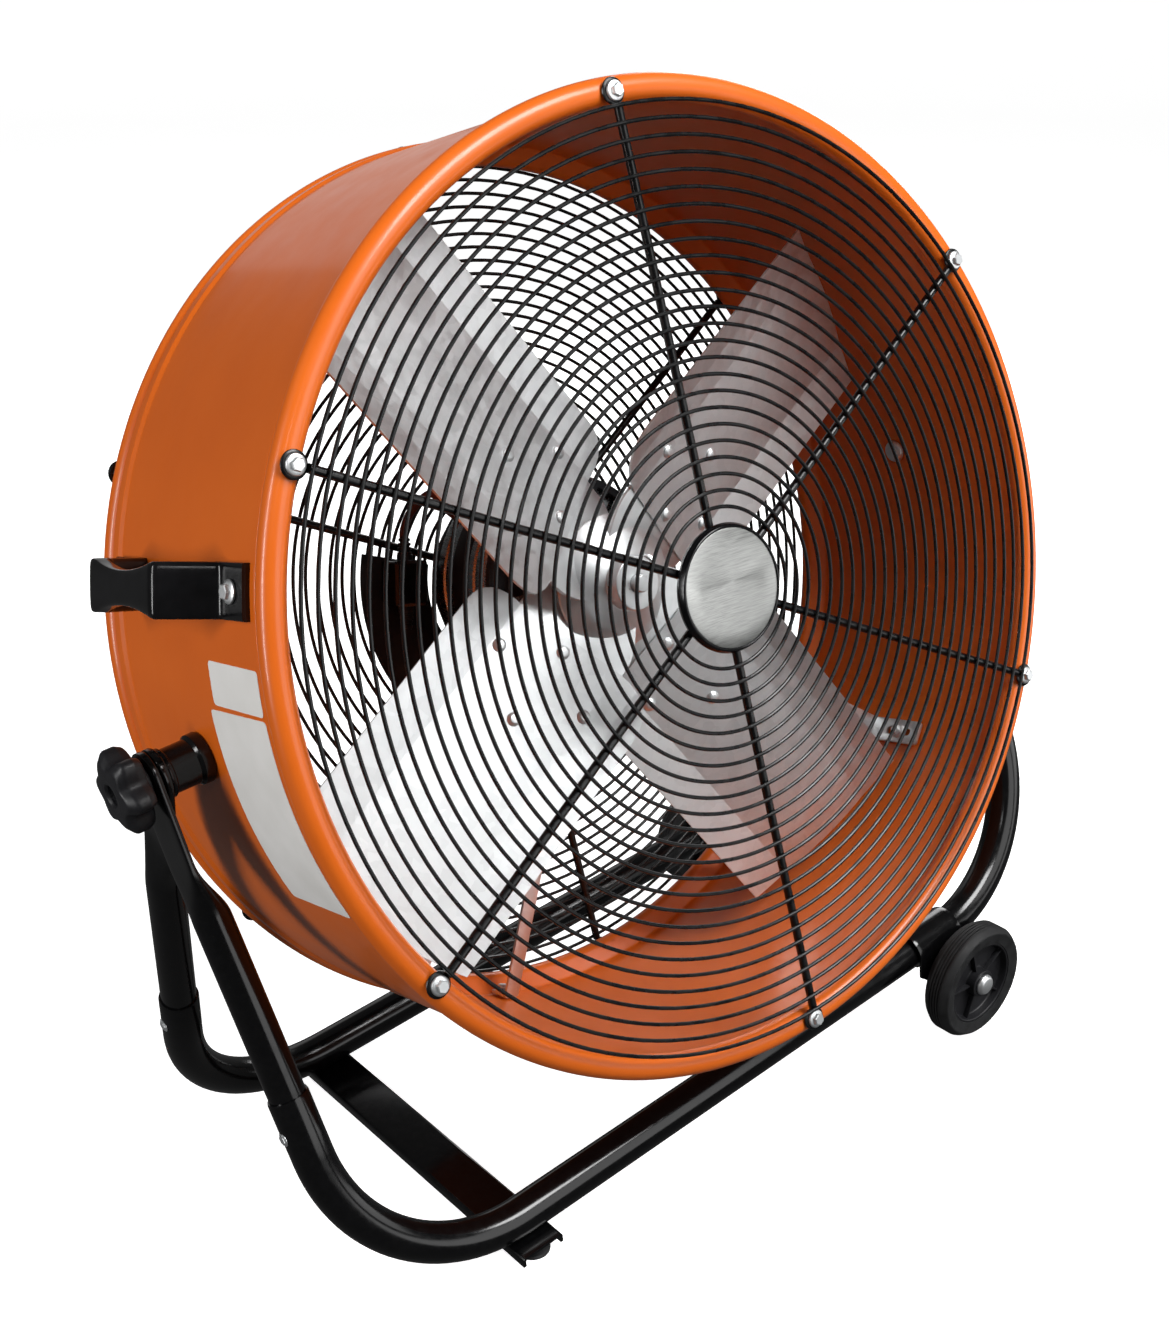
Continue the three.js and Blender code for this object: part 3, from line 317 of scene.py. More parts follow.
def finish(name, tint, matt=None, relief=None, stretch=None, **sockets):
    """A material whose colour, roughness and relief follow noise over the piece.

    Each of the three starts with its grain, (millimetres, detail) and for some the noise's own roughness,
    and equal grains share one noise. Tint and matt go on with two stops, relief with strength and metres.
    """
    material, tree, shader, coords = start_material(name, **sockets)
    if stretch:
        coords = add_node(tree, "ShaderNodeMapping", {"Vector": coords, **stretch})
    grains = {}
    for grain, *_ in filter(None, (tint, matt, relief)):
        if grain not in grains:
            size, detail, rough = (*grain, 0.5)[:3]
            grains[grain] = add_node(tree, "ShaderNodeTexNoise", {
                "Vector": coords, "Scale": each(size), "Detail": detail, "Roughness": rough})
    for layer, socket in ((tint, "Base Color"), (matt, "Roughness")):
        if layer:
            band = add_node(tree, "ShaderNodeValToRGB", {"Fac": grains[layer[0]]}, stops=layer[1:])
            tree.links.new(band.outputs["Color"], shader.inputs[socket])
    if relief:
        grain, strength, distance = relief
        bump = add_node(tree, "ShaderNodeBump", {
            "Height": grains[grain], "Strength": strength, "Distance": distance})
        tree.links.new(bump.outputs["Normal"], shader.inputs["Normal"])
    return material


def galvanised_sheet():
    """Hot-dip zinc on rolled sheet: satin grey with frost-like spangle cells and fine roller stipple."""
    material, tree, shader, coords = start_material("galvanised_sheet", Metallic=1.0)
    wobble = add_node(tree, "ShaderNodeTexNoise", {"Vector": coords, "Scale": each(9), "Detail": 2})
    bent = add_node(tree, "ShaderNodeMix", {
        0: 0.004, 4: coords, 5: wobble.outputs["Color"]}, data_type="VECTOR")
    spangle = add_node(tree, "ShaderNodeTexVoronoi", {"Vector": bent.outputs[1], "Scale": each(7)})
    cells = add_node(tree, "ShaderNodeSeparateColor", {"Color": spangle.outputs["Color"]})
    for channel, stops, socket in (
            ("Red", [(0, "#D9DBDC"), (1, "#E2E4E5")], "Base Color"),
            ("Green", [(0, 0.43), (1, 0.5)], "Roughness")):
        band = add_node(tree, "ShaderNodeValToRGB", {"Fac": cells.outputs[channel]}, stops=stops)
        tree.links.new(band.outputs["Color"], shader.inputs[socket])
    # the rollers' stipple is about 0.3 mm; drawn at 1 mm so that it shows
    stipple = add_node(tree, "ShaderNodeTexNoise", {"Vector": coords, "Scale": each(1), "Detail": 2})
    bump = add_node(tree, "ShaderNodeBump", {
        "Height": stipple.outputs["Fac"], "Strength": 0.12, "Distance": 0.0002})
    tree.links.new(bump.outputs["Normal"], shader.inputs["Normal"])
    return material


# Polyester powder baked on sheet steel: even orange gloss with a faint orange-peel skin and a little dust.
# Real orange peel is about 1 mm across; drawn at 2.5 mm so that it shows.
ORANGE = finish(
    "powder_coated_steel", [(90, 3), (0.3, "#DC6516"), (0.7, "#E36B1A")], [(25, 4), (0.3, 0.3), (0.75, 0.4)],
    [(2.5, 1), 0.06, 0.0002], IOR=1.5, Coat_Weight=0.2, Coat_Roughness=0.1, Specular_IOR_Level=0.4)

# Steel wire dipped in black enamel: glossy, slightly uneven where the enamel ran.
WIRE = finish(
    "dipped_wire", [(14, 3), (0.3, "#08090A"), (0.75, "#0F1011")], [(14, 3), (0.35, 0.22), (0.7, 0.38)],
    [(14, 3), 0.15, 0.0004], IOR=1.5, Specular_IOR_Level=0.35)

# Stove enamel on drawn steel tube: deep black gloss with long soft waves and a few fine scuffs.
ENAMEL = finish(
    "enamelled_tube", [(6, 6, 0.7), (0.4, "#060607"), (0.8, "#0D0D0E")],
    [(6, 6, 0.7), (0.45, 0.15), (0.8, 0.24)], [(18, 1), 0.08, 0.0005], IOR=1.52, Specular_IOR_Level=0.4)

GALVANISED = galvanised_sheet()

# Electroplated zinc on pressed steel: bright bluish metal, its gloss softened by a cloudy passivation.
# The plated crystals are microscopic; drawn at 0.6 mm and very low so that they only soften the light.
ZINC = finish(
    "bright_zinc_plate", [(22, 2), (0.3, "#DCDFE0"), (0.7, "#ECEEEF")], [(12, 1), (0.3, 0.4), (0.75, 0.48)],
    [(0.6, 0), 0.03, 0.0001], Metallic=1.0)

# Sprayed grey enamel over die-cast aluminium: half gloss with a fine cast grain.
CASTING = finish(
    "painted_casting", [(1.6, 4), (0.3, "#2B2D30"), (0.75, "#3C3F42")], [(1.6, 4), (0.3, 0.35), (0.75, 0.5)],
    [(1.6, 4), 0.18, 0.0003], Metallic=0.6, IOR=1.5)

# Bright rolled steel of the motor's can: lengthwise roller lines under clear lacquer.
CAN_STEEL = finish(
    "rolled_steel", [(1.2, 3), (0.3, "#9DA0A1"), (0.7, "#BFC1C2")], [(1.2, 3), (0.3, 0.2), (0.7, 0.34)],
    [(1.2, 3), 0.06, 0.0002], stretch={"Scale": (1, 0.05, 1)}, Metallic=1.0)

# Injection-moulded black nylon, smooth where the mould was polished.
GLOSS_NYLON = finish(
    "polished_nylon", [(12, 3), (0.3, "#0A0A0B"), (0.75, "#121214")], [(12, 3), (0.3, 0.14), (0.75, 0.22)],
    [(12, 3), 0.1, 0.0002], IOR=1.5, Specular_IOR_Level=0.35)

# Injection-moulded black nylon, half matt and grained where the mould was etched.
SATIN_NYLON = finish(
    "grained_nylon", [(1.2, 3), (0.3, "#161618"), (0.75, "#202023")], [(1.2, 3), (0.3, 0.38), (0.75, 0.5)],
    [(1.2, 3), 0.1, 0.0002], IOR=1.5, Specular_IOR_Level=0.35)

# Vulcanised rubber: matt charcoal with grey bloom and a gritty surface.
RUBBER = finish(
    "vulcanised_rubber", [(8, 5), (0.3, "#121213"), (0.8, "#232425")], [(8, 5), (0.3, 0.55), (0.8, 0.78)],
    [(0.9, 2), 0.25, 0.0002], IOR=1.52, Specular_IOR_Level=0.35)

# Aluminium disc brushed in one direction, so that light is drawn out across the strokes.
# Brush strokes are about 0.1 mm apart; drawn at 0.5 mm so that they show.
BADGE_FACE = finish(
    "brushed_aluminium", [(0.5, 3), (0.3, "#929391"), (0.7, "#B0B1AF")], [(0.5, 3), (0.3, 0.28), (0.7, 0.42)],
    [(0.5, 3), 0.08, 0.0001], stretch={"Rotation": (0, 0.35, 0), "Scale": (0.03, 1, 1)},
    Metallic=1.0, Anisotropic=0.5)

# Extruded PVC over the motor's wires: brown-red, slightly waxy.
SHEATH = finish(
    "flexible_sheath", [(10, 3), (0.3, "#47241A"), (0.75, "#613024")], [(10, 3), (0.3, 0.4), (0.75, 0.52)],
    [(10, 3), 0.1, 0.0003], IOR=1.53)

# Cast vinyl film with a pressure adhesive: off-white and half matt, faintly following the paint under it.
VINYL = finish(
    "cast_vinyl_film", [(30, 4), (0.3, "#E8E6E2"), (0.7, "#F0EEEB")], [(30, 4), (0.3, 0.42), (0.75, 0.55)],
    [(2.5, 1), 0.06, 0.0002], IOR=1.46, Specular_IOR_Level=0.4)

# Seamless white paper under the fan.
PAPER = finish(
    "studio_paper", [(400, 2), (0.3, "#F4F4F4"), (0.7, "#F8F8F8")],
    Roughness=0.9, Specular_IOR_Level=0.0, Emission_Color=colour("#FFFFFF"), Emission_Strength=0.9)


def add_floor():
    """A paper sweep in metres: flat round the fan, then curved up into a wall on every side."""
    flat, bend, height, steps = 8, 3, 12, 12
    profile = [(0, 0), (flat, 0)]
    for k in range(1, steps + 1):
        turn = math.pi / 2 * k / steps
        profile.append((flat + bend * math.sin(turn), bend - bend * math.cos(turn)))
    profile.append((flat + bend, height))
    sides = 96
    points = [(0, 0, 0)]
    for radius, level in profile[1:]:
        for k in range(sides):
            turn = 2 * math.pi * k / sides
            points.append((radius * math.cos(turn), radius * math.sin(turn), level))
    faces = [(0, 1 + k, 1 + (k + 1) % sides) for k in range(sides)]
    for ring in range(len(profile) - 2):
        here, after = 1 + ring * sides, 1 + (ring + 1) * sides
        for k in range(sides):
            beside = (k + 1) % sides
            faces.append((here + k, after + k, after + beside, here + beside))
    mesh = bpy.data.meshes.new("floor")
    mesh.from_pydata(points, [], faces)
    mesh.polygons.foreach_set("use_smooth", [True] * len(mesh.polygons))
    floor = bpy.data.objects.new("floor", mesh)
    floor.data.materials.append(PAPER)
    # the paper is white to the eye and leaves the fan's own lighting to the softboxes
    floor.visible_diffuse = False
    floor.visible_glossy = False
    scene.collection.objects.link(floor)


def light_room():
    """A faint, even light from the room around the fan."""
    world = bpy.data.worlds.new("studio")
    world.use_nodes = True
    background = world.node_tree.nodes["Background"]
    background.inputs["Color"].default_value = colour("#FFFFFF")
    background.inputs["Strength"].default_value = 0.08
    scene.world = world


add_floor()
light_room()


# ---- Shaping ----
def mesh_of(points, faces):
    """A mesh from points and faces, of which those with fewer than three corners are left out."""
    shape = bmesh.new()
    corners = [shape.verts.new(point) for point in points]
    for face in faces:
        distinct = list(dict.fromkeys(face))
        if len(distinct) > 2:
            shape.faces.new([corners[k] for k in distinct])
    return outward(shape)


def outward(shape, merge=1e-4):
    """A shape's mesh with corners nearer than merge joined and its faces turned outwards."""
    bmesh.ops.remove_doubles(shape, verts=shape.verts, dist=merge)
    bmesh.ops.recalc_face_normals(shape, faces=shape.faces)
    mesh = bpy.data.meshes.new("shape")
    shape.to_mesh(mesh)
    shape.free()
    return mesh


def rounded(corners, steps=5):
    """Points along a line of (point, radius) corners, with an arc of that radius at each."""
    spots = [Vector(point) for point, _ in corners]
    line = []
    for k, (_, radius) in enumerate(corners):
        here = spots[k]
        if not radius or k in (0, len(spots) - 1):
            line.append(here)
            continue
        before = (spots[k - 1] - here).normalized()
        after = (spots[k + 1] - here).normalized()
        angle = before.angle(after)
        if math.pi - angle < 1e-3:
            line.append(here)
            continue
        start = here + before * radius / math.tan(angle / 2)
        end = here + after * radius / math.tan(angle / 2)
        centre = here + (before + after).normalized() * radius / math.sin(angle / 2)
        sweep = math.pi - angle
        for step in range(steps + 1):
            share = step / steps
            first = math.sin((1 - share) * sweep) / math.sin(sweep)
            second = math.sin(share * sweep) / math.sin(sweep)
            line.append(centre + (start - centre) * first + (end - centre) * second)
    return line


def grid_faces(rows, columns, round_rows=True, closed=False):
    """Faces between rows of points, which are rings unless round_rows is off; closed joins last to first."""
    faces = []
    for row in range(rows if closed else rows - 1):
        here, after = row * columns, (row + 1) % rows * columns
        for k in range(columns if round_rows else columns - 1):
            beside = (k + 1) % columns
            faces.append((here + k, here + beside, after + beside, after + k))
    return faces


def loft(rings, closed=False):
    """A skin over rings with the same number of points, with flat ends unless it closes on itself."""
    around = len(rings[0])
    points = [point for ring in rings for point in ring]
    faces = grid_faces(len(rings), around, closed=closed)
    if not closed:
        faces.append(tuple(range(around)))
        faces.append(tuple(len(points) - around + k for k in range(around)))
    return mesh_of(points, faces)


def lathe(profile, sides=96, axis="y", closed=False, wave=None):
    """A profile of (radius, distance) turned about an axis. A wave adds lobes to the radius."""
    rings = []
    for radius, along in profile:
        ring = []
        for k in range(sides):
            angle = 2 * math.pi * k / sides
            r = max(radius + (wave(angle, radius) if wave else 0), 0)
            a, b = r * math.cos(angle), r * math.sin(angle)
            ring.append({"y": (a, along, b), "x": (along, a, b), "z": (a, b, along)}[axis])
        rings.append(ring)
    return loft(rings, closed)


def turned(corners, sides=96, steps=5, **settings):
    """A lathe's work on a profile of ((radius, distance), rounding) corners."""
    return lathe(rounded(corners, steps), sides, **settings)


def rod(radius, start, end, eases, sides=40, **settings):
    """A turned bar from start to end, with a round of its own on each end's edge."""
    return turned([((0, start), 0), ((radius, start), eases[0]), ((radius, end), eases[1]), ((0, end), 0)],
                  sides, **settings)


def pipe(path, radius, sides=24):
    """A round bar along a path; radius is a number or one for each point."""
    spots = [Vector(point) for point in path]
    radii = radius if isinstance(radius, list) else [radius] * len(spots)
    heading = (spots[1] - spots[0]).normalized()
    side = heading.orthogonal().normalized()
    rings = []
    for k, spot in enumerate(spots):
        ahead = (spots[min(k + 1, len(spots) - 1)] - spot).normalized() if k + 1 < len(spots) else Vector()
        behind = (spot - spots[k - 1]).normalized() if k else Vector()
        heading = (ahead + behind).normalized()
        side = (side - heading * side.dot(heading)).normalized()
        up = heading.cross(side)
        turns = [2 * math.pi * j / sides for j in range(sides)]
        rings.append([spot + radii[k] * (math.cos(t) * side + math.sin(t) * up) for t in turns])
    return loft(rings)


def bake(obj):
    """The object's evaluated mesh, on its own."""
    bpy.context.view_layer.update()
    graph = bpy.context.evaluated_depsgraph_get()
    mesh = bpy.data.meshes.new_from_object(obj.evaluated_get(graph), depsgraph=graph)
    bpy.data.objects.remove(obj)
    return mesh


def carved(mesh, *steps):
    """Runs modifiers, given as (kind, settings), over a mesh."""
    obj = bpy.data.objects.new("blank", mesh)
    scene.collection.objects.link(obj)
    for kind, settings in steps:
        modifier = obj.modifiers.new(kind.lower(), kind)
        for key, value in settings.items():
            setattr(modifier, key, value)
    return bake(obj)


def eased(width, angle=30):
    """Settings of a small round on every edge sharper than an angle."""
    return "BEVEL", {"width": width, "segments": 2, "limit_method": "ANGLE",
                     "angle_limit": math.radians(angle), "use_clamp_overlap": True}


def walled(thickness, offset):
    """Settings that give a skin a wall, around it at offset 0 and inside it at -1."""
    return "SOLIDIFY", {"thickness": thickness, "offset": offset, "use_even_offset": True}


def cut_sheet(outline, holes, start, end, ease=0.0):
    """A sheet cut to an outline in X and Y, with holes, from start to end along Z, its edges eased."""
    data = bpy.data.curves.new("sheet", "CURVE")
    data.dimensions = "2D"
    data.fill_mode = "BOTH"
    data.extrude = (end - start) / 2 - ease
    data.bevel_depth = ease
    data.offset = -ease
    data.bevel_resolution = 1
    for loop in [outline, *holes]:
        spline = data.splines.new("POLY")
        spline.points.add(len(loop) - 1)
        for point, spot in zip(spline.points, loop):
            point.co = (spot[0], spot[1], 0, 1)
        spline.use_cyclic_u = True
    obj = bpy.data.objects.new("sheet", data)
    scene.collection.objects.link(obj)
    mesh = bake(obj)
    mesh.transform(moved(z=(start + end) / 2))
    shape = bmesh.new()
    shape.from_mesh(mesh)
    return outward(shape, 1e-3)


def slice_at(shape, spot, normal):
    """Cuts a shape's faces where a plane crosses them."""
    everything = [*shape.verts, *shape.edges, *shape.faces]
    bmesh.ops.bisect_plane(shape, geom=everything, plane_co=spot, plane_no=normal)


def squared(angle, power):
    """Cosine and sine of an angle, made squarer by a power under 1."""
    return [math.copysign(abs(part) ** power, part) for part in (math.cos(angle), math.sin(angle))]


def circle(radius, x=0, y=0, points=32):
    """Points round a full circle."""
    turns = [2 * math.pi * k / points for k in range(points)]
    return [(x + radius * math.cos(t), y + radius * math.sin(t)) for t in turns]


def arc(radius, start, end, steps, x=0, y=0):
    """Points along part of a circle, from start to end in degrees."""
    turns = [math.radians(start + (end - start) * k / steps) for k in range(steps + 1)]
    return [(x + radius * math.cos(t), y + radius * math.sin(t)) for t in turns]


def curve_to(start, *handles, steps=8):
    """Points of a Bezier curve after its start."""
    line = []
    for k in range(1, steps + 1):
        spots = [Vector(p) for p in (start, *handles)]
        while len(spots) > 1:
            spots = [a.lerp(b, k / steps) for a, b in zip(spots, spots[1:])]
        line.append(tuple(spots[0]))
    return line


# Sheets are cut in X and Y and stand along Z; these turn their thickness along Y or X.
FACING_Y = Matrix(((1, 0, 0, 0), (0, 0, 1, 0), (0, 1, 0, 0), (0, 0, 0, 1)))
FACING_X = Matrix(((0, 0, 1, 0), (1, 0, 0, 0), (0, 1, 0, 0), (0, 0, 0, 1)))


def set_down(mesh, *places):
    """The mesh moved by matrices, the last one first, kept right side out."""
    whole = Matrix.Identity(4)
    for spot in places:
        whole = whole @ spot
    mesh.transform(whole)
    if whole.determinant() < 0:
        mesh.flip_normals()
    return mesh


def together(*meshes):
    """Several meshes as one."""
    shape = bmesh.new()
    for mesh in meshes:
        shape.from_mesh(mesh)
    joined = bpy.data.meshes.new("shape")
    shape.to_mesh(joined)
    shape.free()
    return joined


def add_piece(name, mesh, spot, material, body, nodes=(), sharp=35):
    """Puts a finished piece where it belongs, on its body, in place of its CAD nodes."""
    mesh.name = name
    mesh.transform(spot)
    mesh.materials.clear()
    mesh.materials.append(material)
    mesh.polygons.foreach_set("material_index", [0] * len(mesh.polygons))
    mesh.polygons.foreach_set("use_smooth", [True] * len(mesh.polygons))
    mesh.set_sharp_from_angle(angle=math.radians(sharp))
    mesh.update()
    piece = bpy.data.objects.new(name, mesh)
    scene.collection.objects.link(piece)
    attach(piece, body)
    if nodes:
        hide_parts(*nodes)
    return piece


# ---- Geometry Nodes for what repeats ----
def start_tree(name, counts, sizes):
    """A geometry tree with named inputs for its counts, sizes and material, and its input sockets."""
    tree = bpy.data.node_groups.new(name, "GeometryNodeTree")
    tree.interface.new_socket("Geometry", in_out="OUTPUT", socket_type="NodeSocketGeometry")
    given = {"Geometry": "Geometry", **dict.fromkeys(counts, "Int"), **dict.fromkeys(sizes, "Float"),
             "Material": "Material"}
    for label, kind in given.items():
        tree.interface.new_socket(label, in_out="INPUT", socket_type="NodeSocket" + kind)
    return tree, add_node(tree, "NodeGroupInput").outputs


def end_tree(tree, geometry, material):
    """Makes a tree's instances real, gives them their material and sends them out."""
    whole = add_node(tree, "GeometryNodeRealizeInstances", {"Geometry": geometry})
    dressed = add_node(tree, "GeometryNodeSetMaterial", {"Geometry": whole, "Material": material})
    add_node(tree, "NodeGroupOutput", {"Geometry": dressed})
    return tree


def grown(tree, mesh, **values):
    """Runs a geometry tree over a mesh with its inputs set by their identifiers."""
    obj = bpy.data.objects.new("blank", mesh)
    scene.collection.objects.link(obj)
    modifier = obj.modifiers.new("tree", "NODES")
    modifier.node_group = tree
    named = {item.name: item.identifier for item in tree.interface.items_tree if item.in_out == "INPUT"}
    for label, value in values.items():
        modifier[named[label.replace("_", " ")]] = value
    return bake(obj)


def around_axis_tree():
    """Copies a piece round the Y axis, a set number of degrees apart, from +X towards +Z."""
    tree, given = start_tree("round_the_axis", ["Count"], ["Step"])
    points = add_node(tree, "GeometryNodePoints", {"Count": given["Count"]})
    index = add_node(tree, "GeometryNodeInputIndex")
    turn = add_node(tree, "ShaderNodeMath", {0: index, 1: given["Step"]}, operation="MULTIPLY")
    angle = add_node(tree, "ShaderNodeMath", {0: turn, 1: -math.pi / 180}, operation="MULTIPLY")
    spin = add_node(tree, "ShaderNodeCombineXYZ", {"Y": angle})
    copies = add_node(tree, "GeometryNodeInstanceOnPoints", {
        "Points": points, "Instance": given["Geometry"], "Rotation": spin})
    return end_tree(tree, copies, given["Material"])


def wire_guard_tree():
    """Welded guard in front of Y = 0: wire rings a set pitch apart on spokes that end in flattened eyes."""
    tree, given = start_tree("welded_wire_guard", ["Ring count", "Spoke count"], [
        "First ring", "Pitch", "Ring wire", "Ring height", "Spoke wire", "Spoke height", "Spoke start",
        "Bolt circle", "Eye radius"])
    index = add_node(tree, "GeometryNodeInputIndex")
    quarter = (math.pi / 2, 0, 0)

    # the rings: one unit hoop, scaled by its number
    level = add_node(tree, "ShaderNodeCombineXYZ", {"Y": given["Ring height"]})
    seeds = add_node(tree, "GeometryNodePoints", {"Count": given["Ring count"], "Position": level})
    radius = add_node(tree, "ShaderNodeMath", {
        0: index, 1: given["Pitch"], 2: given["First ring"]}, operation="MULTIPLY_ADD")
    unit = add_node(tree, "GeometryNodeCurvePrimitiveCircle", {"Resolution": 144, "Radius": 1.0})
    hoop = add_node(tree, "GeometryNodeTransform", {"Geometry": unit, "Rotation": quarter})
    hoops = add_node(tree, "GeometryNodeInstanceOnPoints", {
        "Points": seeds, "Instance": hoop, "Scale": radius})
    loops = add_node(tree, "GeometryNodeRealizeInstances", {"Geometry": hoops})
    thin = add_node(tree, "GeometryNodeCurvePrimitiveCircle", {
        "Resolution": 10, "Radius": given["Ring wire"]})
    rings = add_node(tree, "GeometryNodeCurveToMesh", {"Curve": loops, "Profile Curve": thin})

    # a spoke: a stout bar that ends at its eye
    inner = add_node(tree, "ShaderNodeCombineXYZ", {"X": given["Spoke start"], "Y": given["Spoke height"]})
    reach = add_node(tree, "ShaderNodeMath", {
        0: given["Bolt circle"], 1: given["Eye radius"]}, operation="SUBTRACT")
    outer = add_node(tree, "ShaderNodeCombineXYZ", {"X": reach, "Y": given["Spoke height"]})
    line = add_node(tree, "GeometryNodeCurvePrimitiveLine", {"Start": inner, "End": outer})
    stout = add_node(tree, "GeometryNodeCurvePrimitiveCircle", {
        "Resolution": 20, "Radius": given["Spoke wire"]})
    bar = add_node(tree, "GeometryNodeCurveToMesh", {
        "Curve": line, "Profile Curve": stout, "Fill Caps": True})

    # the eye: a slightly fatter wire in a loop, pressed to about half its height
    middle = add_node(tree, "ShaderNodeMath", {
        0: given["Eye radius"], 1: given["Ring wire"]}, operation="SUBTRACT")
    loop = add_node(tree, "GeometryNodeCurvePrimitiveCircle", {"Resolution": 28, "Radius": middle})
    fat = add_node(tree, "ShaderNodeMath", {0: given["Ring wire"], 1: 0.9}, operation="ADD")
    section = add_node(tree, "GeometryNodeCurvePrimitiveCircle", {"Resolution": 12, "Radius": fat})
    wire = add_node(tree, "GeometryNodeCurveToMesh", {"Curve": loop, "Profile Curve": section})
    place_of_eye = add_node(tree, "ShaderNodeCombineXYZ", {"X": given["Bolt circle"], "Y": -1.5})
    eye = add_node(tree, "GeometryNodeTransform", {
        "Geometry": wire, "Rotation": quarter, "Scale": (1, 1, 0.53), "Translation": place_of_eye})
    spoke = add_node(tree, "GeometryNodeJoinGeometry", {0: [bar, eye]})

    posts = add_node(tree, "GeometryNodePoints", {"Count": given["Spoke count"]})
    part = add_node(tree, "ShaderNodeMath", {0: -2 * math.pi, 1: given["Spoke count"]}, operation="DIVIDE")
    turn = add_node(tree, "ShaderNodeMath", {0: index, 1: part}, operation="MULTIPLY")
    spin = add_node(tree, "ShaderNodeCombineXYZ", {"Y": turn})
    spokes = add_node(tree, "GeometryNodeInstanceOnPoints", {
        "Points": posts, "Instance": spoke, "Rotation": spin})
    whole = add_node(tree, "GeometryNodeJoinGeometry", {0: [given["Geometry"], rings, spokes]})
    return end_tree(tree, whole, given["Material"])


ROUND_AXIS = around_axis_tree()
WIRE_GUARD = wire_guard_tree()


def round_axis(mesh, count, material, step=None):
    """The mesh repeated round the Y axis, evenly unless a step in degrees is given."""
    return grown(ROUND_AXIS, mesh, Count=count, Step=float(step or 360 / count), Material=material)


def hex_screw(flange, height, hexagon, shank, reach):
    """A hexagon screw with a domed flange, head towards -Y from Y = 0, shank towards +Y."""
    washer = lathe(
        [(0, 0), (flange, 0), (flange, -0.22 * height), (flange * 0.93, -0.32 * height),
         (hexagon, -0.45 * height), (0, -0.45 * height)], 40)
    boss = lathe([(0, -0.3 * height), (hexagon, -0.3 * height), (hexagon, -0.88 * height),
                  (hexagon * 0.86, -height), (0, -height)], 6)
    bolt = lathe([(0, -0.1), (shank, -0.1), (shank, reach - 0.8), (shank - 0.8, reach), (0, reach)], 24)
    return together(washer, boss, bolt)


# ---- Drum ----
def rim_section(rim, crown, side, steps=22):
    """Points round a rolled rim, from its outer flank over the crown to its inner flank."""
    middle = (rim["outer"] + rim["inner"]) / 2
    half_width = (rim["outer"] - rim["inner"]) / 2
    half_depth = rim["depth"] / 2
    overhang = 52  # degrees past the rim's widest point, on both flanks
    points = []
    for k in range(steps + 1):
        turn = math.radians(-overhang + (180 + 2 * overhang) * k / steps)
        y = crown - side * half_depth + side * half_depth * math.sin(turn)
        points.append((middle + half_width * math.cos(turn), y))
    return points


def drum_skin():
    """The drum's sheet with both rolled rims, each with a swaged bead beside it."""
    front = rim_section(FRONT_RIM, FRONT_CROWN, -1)
    rear = rim_section(REAR_RIM, REAR_CROWN, 1)[::-1]
    flank = REAR_CROWN - REAR_RIM["depth"]
    inside = SKIN_RADIUS - SKIN_SHEET
    front_end = FRONT_CROWN + FRONT_RIM["depth"]
    outside = rounded([
        (rear[-1], 0),
        ((SKIN_RADIUS + 0.4, flank + 1.2), 1),
        ((SKIN_RADIUS + 2, flank - 2.5), 1.5),
        ((SKIN_RADIUS + 2, flank - 10.5), 1.5),
        ((SKIN_RADIUS, flank - 14), 1.5),
        ((SKIN_RADIUS, front_end + 7), 1.5),
        ((SKIN_RADIUS + 1.6, front_end + 5), 1),
        ((SKIN_RADIUS + 1.6, front_end + 3), 1),
        ((SKIN_RADIUS + 0.2, front_end + 1.2), 1),
        (front[0], 0),
    ])
    inner = rounded([
        (front[-1], 0),
        ((inside, front_end + 4), 3),
        ((inside, flank - 4), 3),
        (rear[0], 0),
    ])
    return lathe([*front, *inner[1:-1], *rear, *outside[1:-1]], 256, closed=True)


def vinyl_panel(length, width, turn, lean, y):
    """A blank sticker on the skin, turn degrees from +X towards +Z, its length round the drum."""
    corner = 3
    across, along = length / 2 - corner, width / 2 - corner
    outline = []
    for start, side_x, side_y in ((0, 1, 1), (90, -1, 1), (180, -1, -1), (270, 1, -1)):
        outline += arc(corner, start, start + 90, 4, side_x * across, side_y * along)
    shape = bmesh.new()
    shape.from_mesh(set_down(cut_sheet(outline, [], 0.05, 0.3), about_z(lean)))
    strips = 32
    for k in range(1, strips):
        slice_at(shape, (length * (k / strips - 0.5), 0, 0), (1, 0, 0))
    for vert in shape.verts:
        angle = math.radians(turn) + vert.co.x / SKIN_RADIUS
        radius = SKIN_RADIUS + vert.co.z
        vert.co = (radius * math.cos(angle), y + vert.co.y, radius * math.sin(angle))
    return outward(shape, 1e-3)


add_piece("drum_skin", drum_skin(), DRUM, ORANGE, "drum", ["drum_shell"], sharp=50)
for label, sizes in PANELS.items():
    add_piece(f"{label}_vinyl_panel", vinyl_panel(*sizes), DRUM, VINYL, "drum", sharp=30)


# ---- Guards ----
def centre_plate():
    """The disc in a guard's middle that its spokes end under."""
    back = PLATE_FRONT + PLATE_SHEET
    return lathe([(0, back), (PLATE_RADIUS - 1, back), (PLATE_RADIUS, back - 0.6),
                  (PLATE_RADIUS, PLATE_FRONT + 0.6), (PLATE_RADIUS - 1, PLATE_FRONT), (0, PLATE_FRONT)], 72)


def wire_guard(ring_count):
    """A guard with its centre plate, in front of Y = 0."""
    return grown(
        WIRE_GUARD, centre_plate(), Ring_count=ring_count, First_ring=float(FIRST_RING),
        Pitch=(LAST_RING - FIRST_RING) / (ring_count - 1), Ring_wire=RING_WIRE / 2, Ring_height=RING_Y,
        Spoke_count=SPOKES, Spoke_wire=float(SPOKE_RADIUS), Spoke_height=SPOKE_Y, Spoke_start=SPOKE_START,
        Bolt_circle=BOLT_CIRCLE, Eye_radius=EYE_RADIUS, Material=WIRE)


